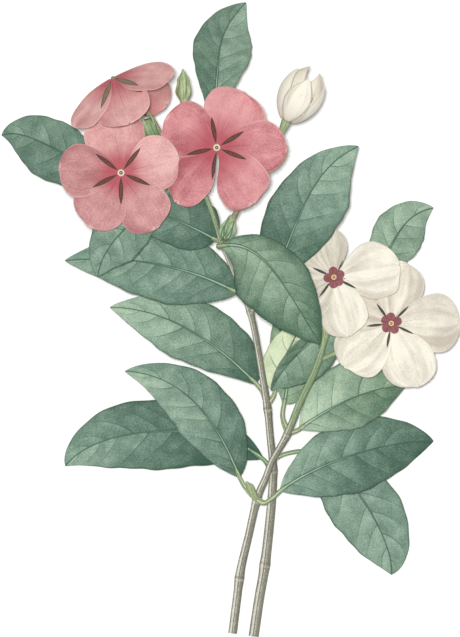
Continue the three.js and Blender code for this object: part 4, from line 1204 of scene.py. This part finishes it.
def petal_material(name, tissue, rim, fold_shade, glow, slit_shade, eye):
    material, tree, place, shade, drawn = start_material(name, *MARKS)
    position = add(tree, "ShaderNodeTexCoord").outputs["Object"]
    fine = {"Vector": position, "Scale": PETAL_GRAIN, "Detail": 2.0, "Roughness": 0.7}
    grain = add(tree, "ShaderNodeTexNoise", fine)
    clouds = add(tree, "ShaderNodeTexNoise", {"Vector": position, "Scale": PETAL_CLOUDS, "Detail": 3.0})
    fanned = []
    for count in (VEINS_ACROSS, FOLD_SHADES_ACROSS):
        across = add(tree, "ShaderNodeMath", {0: drawn[1], 1: count}, operation="MULTIPLY")
        seed = add(tree, "ShaderNodeMath", {0: shade[2], 1: FANS_APART, 2: count}, operation="MULTIPLY_ADD")
        fan = add(tree, "ShaderNodeCombineXYZ", {0: drawn[0], 1: across, 2: seed})
        fanned.append(add(tree, "ShaderNodeTexNoise", {"Vector": fan, "Scale": FAN_SCALE, "Detail": 2.0}))
    veins, broad = fanned
    tone = add(tree, "ShaderNodeMix", {0: GRAIN_SHARE, 2: clouds, 3: grain})
    tone = add(tree, "ShaderNodeMix", {0: VEIN_SHARE, 2: tone, 3: veins})
    # Broad streaks of painted shade along the folds, strongest on the white petals.
    tone = add(tree, "ShaderNodeMix", {0: fold_shade, 2: tone, 3: broad})
    # The painted light and shade of each petal shift its tone.
    tinted = add(tree, "ShaderNodeMath", {0: drawn[2], 1: PAINTED_TONE_STEP, 2: tone}, operation="MULTIPLY_ADD")
    # Painted shade on the side of the petal that passes under its neighbour.
    tuck_shade = add(tree, "ShaderNodeMapRange", {0: drawn[1], **TUCK_SHADE_TONES})
    tinted = add(tree, "ShaderNodeMath", {0: tinted, 1: tuck_shade}, operation="ADD")
    colour = add(tree, "ShaderNodeValToRGB", {0: tinted}, tissue).outputs[0]
    side = add(tree, "ShaderNodeMath", {0: drawn[1]}, operation="ABSOLUTE")
    end = add(tree, "ShaderNodeMath", {0: drawn[0], 1: 3.0}, operation="POWER")
    edge = add(tree, "ShaderNodeMath", {0: side, 1: end}, operation="MAXIMUM")
    layers = [(add(tree, "ShaderNodeMapRange", {0: edge, **RIM_LINE}), rim)]
    if glow:
        deep, inner, outer = glow
        by_veins, by_grain = GLOW_RAGS
        ragged = {0: veins, 1: -by_veins, 2: place[2]}
        ragged = add(tree, "ShaderNodeMath", ragged, operation="MULTIPLY_ADD")
        ragged = add(tree, "ShaderNodeMath", {0: grain, 1: -by_grain, 2: ragged}, operation="MULTIPLY_ADD")
        back = sum(GLOW_RAGS) / 2
        near = {0: ragged, 1: inner - back, 2: outer - back, 3: GLOW_SHOWS, 4: 0.0}
        layers.append((add(tree, "ShaderNodeMapRange", near), deep))
    # Dark slits of painted shade between the petals near the throat, with a darker painted rim.
    slit_shade_ramp, start, end, widest = slit_shade
    share = add(tree, "ShaderNodeMapRange", {0: place[0], 1: start, 2: end})
    rest = add(tree, "ShaderNodeMath", {0: 1.0, 1: share}, operation="SUBTRACT")
    lens = add(tree, "ShaderNodeMath", {0: share, 1: rest}, operation="MULTIPLY")
    half = add(tree, "ShaderNodeMath", {0: lens, 1: 4 * widest}, operation="MULTIPLY")
    aside = add(tree, "ShaderNodeMath", {0: place[1]}, operation="ABSOLUTE")
    inside = add(tree, "ShaderNodeMath", {0: half, 1: aside}, operation="SUBTRACT")
    slit_shade_on = add(tree, "ShaderNodeMapRange", {0: inside, **SLIT_SHADE_LINE})
    layers.append((slit_shade_on, add(tree, "ShaderNodeValToRGB", {0: grain}, slit_shade_ramp)))
    slit_rim_shade = add(tree, "ShaderNodeMapRange", {0: inside, **SLIT_RIM_SHADE_LINE})
    slit_rim_shade_on = add(tree, "ShaderNodeMath", {0: slit_shade_on, 1: slit_rim_shade}, operation="MULTIPLY")
    layers.append((slit_rim_shade_on, SLIT_RIM_SHADE))
    if eye:
        wine, lobe_centre, lobe_radius, middle = eye
        outward = add(tree, "ShaderNodeMath", {0: shade[0], 1: lobe_centre}, operation="SUBTRACT")
        off = add(tree, "ShaderNodeCombineXYZ", {0: outward, 1: shade[1]})
        away = add(tree, "ShaderNodeVectorMath", {0: off}, operation="LENGTH").outputs["Value"]
        near = {0: away, 1: lobe_radius - LOBE_SOFT, 2: lobe_radius, 3: 1.0, 4: 0.0}
        in_lobe = add(tree, "ShaderNodeMapRange", near)
        near = {0: place[2], 1: middle, 2: middle + MIDDLE_SOFT, 3: 1.0, 4: 0.0}
        in_middle = add(tree, "ShaderNodeMapRange", near)
        in_eye = add(tree, "ShaderNodeMath", {0: in_lobe, 1: in_middle}, operation="MAXIMUM")
        layers.append((in_eye, add(tree, "ShaderNodeValToRGB", {0: tone}, wine)))
    sunk = add(tree, "ShaderNodeMath", {0: slit_shade_on, 1: -SLIT_SINKS, 2: tone}, operation="MULTIPLY_ADD")
    roughness = add(tree, "ShaderNodeMapRange", {0: tone, **PETAL_ROUGH})
    colour = lay_over(tree, colour, layers)
    finish_material(tree, colour, sunk, PETAL_RELIEF, roughness, PETAL_GLOSS, PETAL_SHEEN)
    return material


WHITE_TISSUE = [(0.3, "#bfb6a8"), (0.44, "#dad3c4"), (0.56, "#efeadb")]
WHITE_RIM = "#f3eee0"
PINK_RIM = "#eec6c0"
# Colours and sizes of the dark slits of painted shade between the petals.
PINK_SLIT_SHADE = ([(0.35, "#442f29"), (0.65, "#74493f")], 1.5, 11.6, 0.85)
WHITE_SLIT_SHADE = ([(0.35, "#25312a"), (0.65, "#43534a")], 2.0, 9.2, 0.5)
SLIT_RIM_SHADE = "#3c302b"

# The eye has its wine red, the centre and radius of its lobes and the radius of its middle, in
# millimetres from the throat.
EYE = ([(0.35, "#743f47"), (0.65, "#a0666a")], 2.35, 1.7, 2.2)
GLOW_ROSE = "#ad4b56"
WHITE_FOLD_SHADE = 0.45
PINK_FOLD_SHADE = 0.1

white_petal = petal_material(
    "white_petal_tissue", WHITE_TISSUE, WHITE_RIM, WHITE_FOLD_SHADE, None, WHITE_SLIT_SHADE, EYE
)
pink_petals = {}
for name, flower in FLOWERS.items():
    if flower["colour"] == "pink":
        title = "pink_petal_tissue_" + name[-1]
        glow = (GLOW_ROSE, *flower["glow"])
        slit_shade = flower.get("slit_shade", PINK_SLIT_SHADE)
        tissue = flower["tissue"]
        pink_petals[name] = petal_material(title, tissue, PINK_RIM, PINK_FOLD_SHADE, glow, slit_shade, None)

# Throat: a cream, waxy ring about 3 mm across with a fringe of fine hairs, round the mouth of the
# tube, which a dark knob of painted shade fills. The green knob of the stigma just shows inside.
RING_RADIUS = 0.95 * MM
RING_THICK = 0.36 * MM
RING_RISE = 0.7 * MM
RING_STEPS = (28, 12)
HAIR_COUNT = 26
HAIR_LENGTH = 0.4 * MM
HAIR_HALF = 0.05 * MM
STIGMA_RADIUS = 0.34 * MM
WHITE_RING_SHARE = 0.76
HAIRS_LEAN_IN = 0.9
HAIRS_STRAY = ((-0.35, -0.35, 0.35), (0.35, 0.35, 0.9))
HAIR_SIDES = 4
HAIRS_UP = 0.2 * MM
MOUTH_GRID = (6, 16)
MOUTH_DOWN = 0.45 * MM
STIGMA_GRID = (8, 12)
STIGMA_DOWN = 0.1 * MM
KNOB_HEIGHT = 0.5 * MM
WAX_GRAIN = 2400.0
WAX_RELIEF = (0.08 * MM, 0.4)
WAX_DULLER = 0.2
WAX_GLOSS = 0.3


def waxy_material(name, stops, rough):
    """Waxy living tissue, with faint mottling and fine grain."""
    material, tree = start_material(name)
    position = add(tree, "ShaderNodeTexCoord").outputs["Object"]
    grain = add(tree, "ShaderNodeTexNoise", {"Vector": position, "Scale": WAX_GRAIN, "Detail": 3.0})
    roughness = add(tree, "ShaderNodeMapRange", {0: grain, 3: rough, 4: rough + WAX_DULLER})
    colour = add(tree, "ShaderNodeValToRGB", {0: grain}, stops)
    finish_material(tree, colour, grain, WAX_RELIEF, roughness, WAX_GLOSS)
    return material


cream_ring = waxy_material("cream_throat_ring", [(0.35, "#cfbfa8"), (0.65, "#ebdecb")], 0.5)
golden_ring = waxy_material("golden_throat_ring", [(0.35, "#d7ae72"), (0.65, "#f4dcaa")], 0.5)
# A dark knob of painted shade fills the mouth of the tube.
mouth_shade_knob = waxy_material("painted_shade_throat_mouth", [(0.35, "#3c3428"), (0.65, "#655a48")], 0.7)
green_knob = waxy_material("green_stigma", [(0.35, "#87946a"), (0.65, "#bbc194")], 0.4)
tube_skin = waxy_material("corolla_tube_skin", [(0.3, "#6d6852"), (0.5, "#8d8b6f"), (0.7, "#afb094")], 0.5)

sizes = {
    "Hair Count": "Int",
    "Ring Radius": "Float",
    "Hair Length": "Float",
    "Hair Half Width": "Float",
    "Seed": "Int",
    "Wax": "Material",
}
throat_hairs, given = start_grower("ring_of_hairs", sizes)
circle_sizes = {"Resolution": given["Hair Count"], "Radius": given["Ring Radius"]}
circle = add(throat_hairs, "GeometryNodeCurvePrimitiveCircle", circle_sizes)
outward = add(throat_hairs, "GeometryNodeInputPosition")
outward = add(throat_hairs, "ShaderNodeVectorMath", {0: outward}, operation="NORMALIZE")
back = add(throat_hairs, "ShaderNodeVectorMath", {0: outward, 3: -HAIRS_LEAN_IN}, operation="SCALE")
stray = {0: HAIRS_STRAY[0], 1: HAIRS_STRAY[1], "Seed": given["Seed"]}
stray = add(throat_hairs, "FunctionNodeRandomValue", stray, data_type="FLOAT_VECTOR")
lean = add(throat_hairs, "ShaderNodeVectorMath", {0: back, 1: stray}, operation="ADD")
turned = add(throat_hairs, "FunctionNodeAlignRotationToVector", {"Vector": lean}, axis="Z")
hair_sizes = {
    "Vertices": HAIR_SIDES,
    "Radius Bottom": given["Hair Half Width"],
    "Radius Top": 0.0,
    "Depth": given["Hair Length"],
}
hair = add(throat_hairs, "GeometryNodeMeshCone", hair_sizes)
hair_places = {"Points": circle, "Instance": hair, "Rotation": turned}
finish_grower(throat_hairs, add(throat_hairs, "GeometryNodeInstanceOnPoints", hair_places), given["Wax"])


def ring_part(radius, thick, around, beside):
    """A closed ring in the XY plane."""
    turn = 2 * np.pi * np.arange(around) / around
    turn, roll = np.meshgrid(turn, 2 * np.pi * np.arange(beside) / beside, indexing="ij")
    wide = radius + thick * np.cos(roll)
    points = np.stack([wide * np.cos(turn), wide * np.sin(turn), thick * np.sin(roll)], -1)
    faces = []
    for i in range(around):
        for k in range(beside):
            here, after = i * beside, ((i + 1) % around) * beside
            faces.append((here + k, after + k, after + (k + 1) % beside, here + (k + 1) % beside))
    return {"points": points.reshape(-1, 3), "faces": faces}


def knob_part(radius, rows, sides):
    """A closed round knob that stands on the XY plane. Its slight lean gives its line a side."""
    lean = 1e-9
    turn = np.linspace(0, np.pi, rows)
    line = np.stack([0 * turn, 0 * turn, KNOB_HEIGHT * (1 - np.cos(turn)) / 2], -1)
    line[:, 0] = lean * np.arange(rows)
    return tube(line, radius * np.sin(turn).clip(0.02), sides)


def stand_on_flower(part, flower, rise, material):
    """Moves a part from the XY plane to the throat of a flower."""
    facing, first, second = flower_axes(flower["faces"])
    turned = part["points"] @ np.array([first, second, facing])
    part["points"] = turned + at(flower["centre"]) + facing * rise
    part["material"] = material
    return part


def hair_part(seed, slim, wax):
    carrier = put_in_scene("hair_carrier", bpy.data.meshes.new("hair_carrier"))
    values = {
        "Hair Count": HAIR_COUNT,
        "Ring Radius": RING_RADIUS * slim,
        "Hair Length": HAIR_LENGTH * slim,
        "Hair Half Width": HAIR_HALF,
        "Seed": seed,
        "Wax": wax,
    }
    return run_tree(carrier, throat_hairs, values)


TUBE_RADIUS = 0.95
TUBE_SIDES = 14
TUBE_STEPS = 12
TUBE_RIBS = (5, 0.04)
TUBE_SWELL = (0.12, 0.12, 0.08)
for seed, (name, flower) in enumerate(FLOWERS.items()):
    pink = flower["colour"] == "pink"
    slim = 1.0 if pink else WHITE_RING_SHARE
    line, share = smooth_line([at(p) for p in flower["tube"]], TUBE_STEPS * (len(flower["tube"]) - 1))
    size, where, reach = TUBE_SWELL
    wide = flower.get("tube_radius", TUBE_RADIUS) * MM
    radii = wide * (1 + size * np.exp(-(((share - where) / reach) ** 2)))
    neck = tube(line, radii, TUBE_SIDES, *TUBE_RIBS)
    neck["material"] = 4
    rise = flower.get("ring_rise", RING_RISE)
    ring = ring_part(RING_RADIUS * slim, RING_THICK * slim, *RING_STEPS)
    mouth_shade = knob_part(RING_RADIUS * slim, *MOUTH_GRID)
    stigma = knob_part(STIGMA_RADIUS, *STIGMA_GRID)
    parts = [petal_part(flower, k) for k in range(len(flower["petals"]))]
    parts += [
        stand_on_flower(ring, flower, rise, 1),
        stand_on_flower(hair_part(seed, slim, cream_ring), flower, rise + HAIRS_UP, 1),
        stand_on_flower(mouth_shade, flower, rise - MOUTH_DOWN, 2),
        stand_on_flower(stigma, flower, rise - STIGMA_DOWN, 3),
        neck,
    ]
    tissue = pink_petals[name] if pink else white_petal
    finishes = [tissue, cream_ring if pink else golden_ring, mouth_shade_knob, green_knob, tube_skin]
    piece = make_piece("corolla_" + name, parts, finishes)
    declare(piece, name)

# Calyces. Under each corolla five narrow sepals of soft green tissue stand up round the foot of the
# tube, grown together into a ribbed cup, on a slender stalk that leaves the stem.
CALYX_RADIUS = 1.5
PEDICEL_RADIUS = 0.8
CALYX_SWELL = (0.35, 1.1)
CALYX_GREEN = 0.15
CALYX_GREENS = 0.3
CALYX_EVEN = 0.7
CALYX_STEPS = 40
CALYX_SIDES = 42
CALYX_RIBS = 7
CALYX_RIB_DEPTH = 0.06
CALYX_FURROW = 0.6
SEPAL_COUNT = 5
SEPAL_LENGTH = 4.2 * MM
SEPAL_HALF = 0.75 * MM
SEPAL_THICK = 0.3 * MM
SEPAL_BULGE = 0.35 * MM
SEPAL_TIP_IN = 0.25 * MM
SEPALS_START = 0.6
SEPALS_STAND_IN = 0.2
SEPAL_GREENS = (0.45, -0.3)
SEPAL_ROOT = 0.3
SEPAL_HUG = 0.35
SEPAL_GRID = (14, 6)

sizes = {"Sepal Count": "Int", "Ring Radius": "Float", "Skin": "Material"}
sepal_ring, given = start_grower("ring_of_sepals", sizes)
circle_sizes = {"Resolution": given["Sepal Count"], "Radius": given["Ring Radius"]}
circle = add(sepal_ring, "GeometryNodeCurvePrimitiveCircle", circle_sizes)
outward = add(sepal_ring, "GeometryNodeInputPosition")
facing_out = add(sepal_ring, "FunctionNodeAlignRotationToVector", {"Vector": outward}, axis="X")
sepal_places = {"Points": circle, "Instance": given[0], "Rotation": facing_out}
finish_grower(sepal_ring, add(sepal_ring, "GeometryNodeInstanceOnPoints", sepal_places), given["Skin"])


def sepal_part():
    """One narrow pointed sepal that stands along +Z and curves round the tube."""
    rows, columns = SEPAL_GRID
    t, v = np.meshgrid(np.linspace(0, 1, rows + 1), np.linspace(-1, 1, columns + 1), indexing="ij")
    half = SEPAL_HALF * np.sin(np.pi * (SEPAL_ROOT + (1 - SEPAL_ROOT) * t)) ** 0.8
    hug = -SEPAL_HUG * SEPAL_HALF * v**2 * (1 - t)
    out = SEPAL_BULGE * np.sin(np.pi * t) - SEPAL_TIP_IN * t**2
    outer = np.stack([out + hug + SEPAL_THICK / 2, v * half, SEPAL_LENGTH * t], -1)
    inner = outer - [SEPAL_THICK, 0, 0]
    faces = [tuple(reversed(face)) for face in sheet_faces(rows, columns)]
    return {"points": np.vstack([outer.reshape(-1, 3), inner.reshape(-1, 3)]), "faces": faces}


def calyx_parts(flower):
    radius = flower.get("calyx_radius", CALYX_RADIUS)
    line, share = smooth_line([at(p) for p in flower["calyx"]], CALYX_STEPS)
    start, run = flower.get("calyx_swell", CALYX_SWELL)
    swell = np.sin(np.pi * np.minimum(1, start + share * run)) ** 2
    radii = (PEDICEL_RADIUS + (radius - PEDICEL_RADIUS) * swell) * MM
    cup = tube(line, radii, CALYX_SIDES, CALYX_RIBS, CALYX_RIB_DEPTH)
    cup["shade"] = green_along(cup, flower.get("calyx_green", CALYX_GREEN), CALYX_GREENS, CALYX_EVEN)
    ribbed = CALYX_RIBS * cup["place"][:, 1] + 0.5
    cup["print"] = np.stack([ribbed, np.full_like(ribbed, CALYX_FURROW), 0 * ribbed], -1)
    carrier = make_piece("one_sepal", [sepal_part()], [stalk_skin])
    wide = (radius - SEPALS_STAND_IN) * MM
    values = {"Sepal Count": SEPAL_COUNT, "Ring Radius": wide, "Skin": stalk_skin}
    ring = run_tree(carrier, sepal_ring, values)
    neck, foot = at(flower["calyx"][0]), at(flower["calyx"][1])
    turn = np.array(Vector(neck - foot).normalized().to_track_quat("Z", "Y").to_matrix())
    along = ring["points"][:, 2] / SEPAL_LENGTH
    ring["points"] = ring["points"] @ turn.T + neck + (foot - neck) * SEPALS_START
    ring["place"] = np.stack([along * SEPAL_LENGTH, 0.1 + 0 * along, along], -1)
    ring["shade"] = green_along(ring, *SEPAL_GREENS)
    ring["print"] = np.stack([0.5 + 0 * along, 0 * along, 0 * along], -1)
    return [cup, ring]


for name, flower in FLOWERS.items():
    node = name.replace("flower", "calyx")
    declare(make_piece("sepals_" + node, calyx_parts(flower), [stalk_skin]), node)

# Closed buds. The green one is an egg of five petals furled in a slow twist, drawn to a point, on its
# stalk; the other is the small pointed bud in the axil of the lowest leaf pair on the white stem.
BUDS = {
    "green_bud": {
        "line": [
            (190, 165, 30), (188.5, 140, 31.5), (186, 119, 32.4), (184.5, 104, 33), (184, 93, 33.4),
            (183.5, 82, 33.5), (183, 70, 33.5),
        ],
        "radii": (0.8, 0.85, 0.9, 1.4, 2.9, 2.2, 0.35),
        "furrows_from": 0.56,
    },
    "axillary_bud": {
        "line": [(257, 499, 12), (253, 493, 14.4), (250, 488, 15), (246, 482, 15)],
        "radii": (0.7, 1.2, 1.5, 0.35),
        "furrows_from": 0.3,
    },
}
BUD_TWIST = 1.4
BUD_STEPS = 16
BUD_SIDES = 40
BUD_PETALS = 5
BUD_RIB_DEPTH = 0.07
BUD_GREENS = (0.3, -0.2, 0.6)
FURROW_FADE = 0.08
FURROW_DEEPEST = 0.8


def eased(share, radii):
    """Radii that ease from each given value to the next."""
    place = share * (len(radii) - 1)
    k = np.minimum(place.astype(int), len(radii) - 2)
    f = place - k
    radii = np.array(radii)
    return (radii[k] + (radii[k + 1] - radii[k]) * f * f * (3 - 2 * f)) * MM


for name, bud in BUDS.items():
    line, share = smooth_line([at(p) for p in bud["line"]], BUD_STEPS * (len(bud["line"]) - 1))
    radii = eased(share, bud["radii"])
    part = tube(line, radii, BUD_SIDES, BUD_PETALS, BUD_RIB_DEPTH, BUD_TWIST)
    turn, along = part["place"][:, 1], part["place"][:, 2]
    part["shade"] = green_along(part, *BUD_GREENS)
    furrow = BUD_PETALS * (turn - BUD_TWIST * along / (2 * math.pi)) + 0.5
    shown = np.clip((along - bud["furrows_from"]) / FURROW_FADE, 0, 1) * FURROW_DEEPEST
    part["print"] = np.stack([furrow, shown, 0 * along], -1)
    declare(make_piece("skin_" + name, [part], [stalk_skin]), name)

# Half-open white bud. Five pointed petals stand round one another like a cup, the front one over its
# neighbours and two behind, on a green calyx and a long slender stalk. A thin grey line of painted
# shade runs beside each edge of a petal, and painted light and shade make each petal lighter or
# darker.
CUP_FOOT = (286.5, 121, 34)
CUP_MOUTH = (311.5, 76, 37)
CUP_RADIUS = 7.9 * MM

# A petal has its turn about the axis in degrees, its reach as a share of the length, how far it
# stands off in millimetres, its painted light and shade and its half span in degrees.
CUP_PETALS = [
    (0, 0.94, 0.45, 0.6, 37), (-75, 0.99, 0, 1.8, 46), (80, 0.93, 0, 1.3, 46),
    (-137, 1.11, -0.45, 0.7, 46), (140, 1.07, -0.45, 0.5, 46),
]
EDGE_SHADE_DEPTH = 2.4
EDGE_SHADE_PLACE = 0.92
EDGE_SHADE_HALF = 0.06
CUP_BULGE = (0.03, 0.82, 0.52)
CUP_GRID = (44, 30)
CUP_CALYX = [(286.5, 121.5, 34), (279, 137, 33), (262, 166, 32), (240, 205, 30.5), (222, 243, 28.5)]
CUP_CALYX_RADII = (1.75, 1.1, 0.8, 0.8, 0.8)
CUP_ROWS_CROWD = 1.4
CUP_SPREAD = 0.55
CUP_POINT = 0.985
CUP_STALK_STEPS = 22
CUP_SIDES = 20
CUP_STALK_RIBS = (5, 0.05)
CUP_STALK_GREENS = (0.4, 0.3, 0.6)
HEART_REACH = 0.28
HEART_STEPS = 8
HEART_INSET = 0.96
OFF_THE_EYE = 40.0


def cup_radius(t):
    start, run, power = CUP_BULGE
    return CUP_RADIUS * np.sin(np.pi * (start + run * t)) ** power


def cup_parts():
    foot = at(CUP_FOOT)
    axis = at(CUP_MOUTH) - foot
    length = np.linalg.norm(axis)
    up = axis / length
    first = np.array([0.0, 0.0, 1.0]) - up * up[2]
    first /= np.linalg.norm(first)
    second = np.cross(up, first)
    rows, columns = CUP_GRID
    along = 1 - (1 - np.linspace(0, 1, rows + 1)) ** CUP_ROWS_CROWD
    t, v = np.meshgrid(along, np.linspace(-1, 1, columns + 1), indexing="ij")
    parts = []
    for turn, reach, off, painted_tone, span in CUP_PETALS:
        spread = span * (CUP_SPREAD + (1 - CUP_SPREAD) * np.sin(np.pi * t))
        spread = spread * np.sqrt(1 - CUP_POINT * t**4)
        angle = np.radians(turn + v * spread)
        radius = cup_radius(t * reach) + off * MM
        point = foot + up * (length * reach * t)[..., None] + first * (np.cos(angle) * radius)[..., None]
        point = point + second * (np.sin(angle) * radius)[..., None]
        thin = np.maximum(np.abs(v), t) ** 4
        shell = sheet_normal(point) * ((PETAL_THICK + (PETAL_EDGE - PETAL_THICK) * thin) / 2)[..., None]
        far = np.full((2, *t.shape), OFF_THE_EYE)
        # Painted shade: a thin grey line beside each edge of the petal.
        painted_tone = painted_tone - EDGE_SHADE_DEPTH * np.exp(-(((np.abs(v) - EDGE_SHADE_PLACE) / EDGE_SHADE_HALF) ** 2))
        drawn = np.stack([np.stack([t, t]), np.stack([v, v]), np.stack([painted_tone, painted_tone])], -1)
        parts.append(
            {
                "points": np.stack([point + shell, point - shell]).reshape(-1, 3),
                "faces": sheet_faces(rows, columns),
                "place": np.stack([far, far, far], -1).reshape(-1, 3),
                "shade": np.stack([far, far, np.full_like(far, turn)], -1).reshape(-1, 3),
                "print": drawn.reshape(-1, 3),
            }
        )
    core = np.linspace(0.02, HEART_REACH, HEART_STEPS)
    heart = tube(foot + up * (core * length)[:, None], cup_radius(core) * HEART_INSET, CUP_SIDES)
    heart["place"] = heart["shade"] = np.full_like(heart["points"], OFF_THE_EYE)
    return [*parts, heart]


declare(make_piece("petals_white_bud", cup_parts(), [white_petal]), "white_bud")
line, share = smooth_line([at(p) for p in CUP_CALYX], CUP_STALK_STEPS * (len(CUP_CALYX) - 1))
stalk = tube(line, eased(share, CUP_CALYX_RADII), CUP_SIDES, *CUP_STALK_RIBS)
stalk["shade"] = green_along(stalk, *CUP_STALK_GREENS)
declare(make_piece("stalk_white_bud", [stalk], [stalk_skin]), "white_bud_calyx")

# Size. The boxes of the solids and of the finished pieces are gathered side by side.
visual_low, visual_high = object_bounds()
sizes = {"cad": [list(cad_low), list(cad_high)], "visual": [list(visual_low), list(visual_high)]}
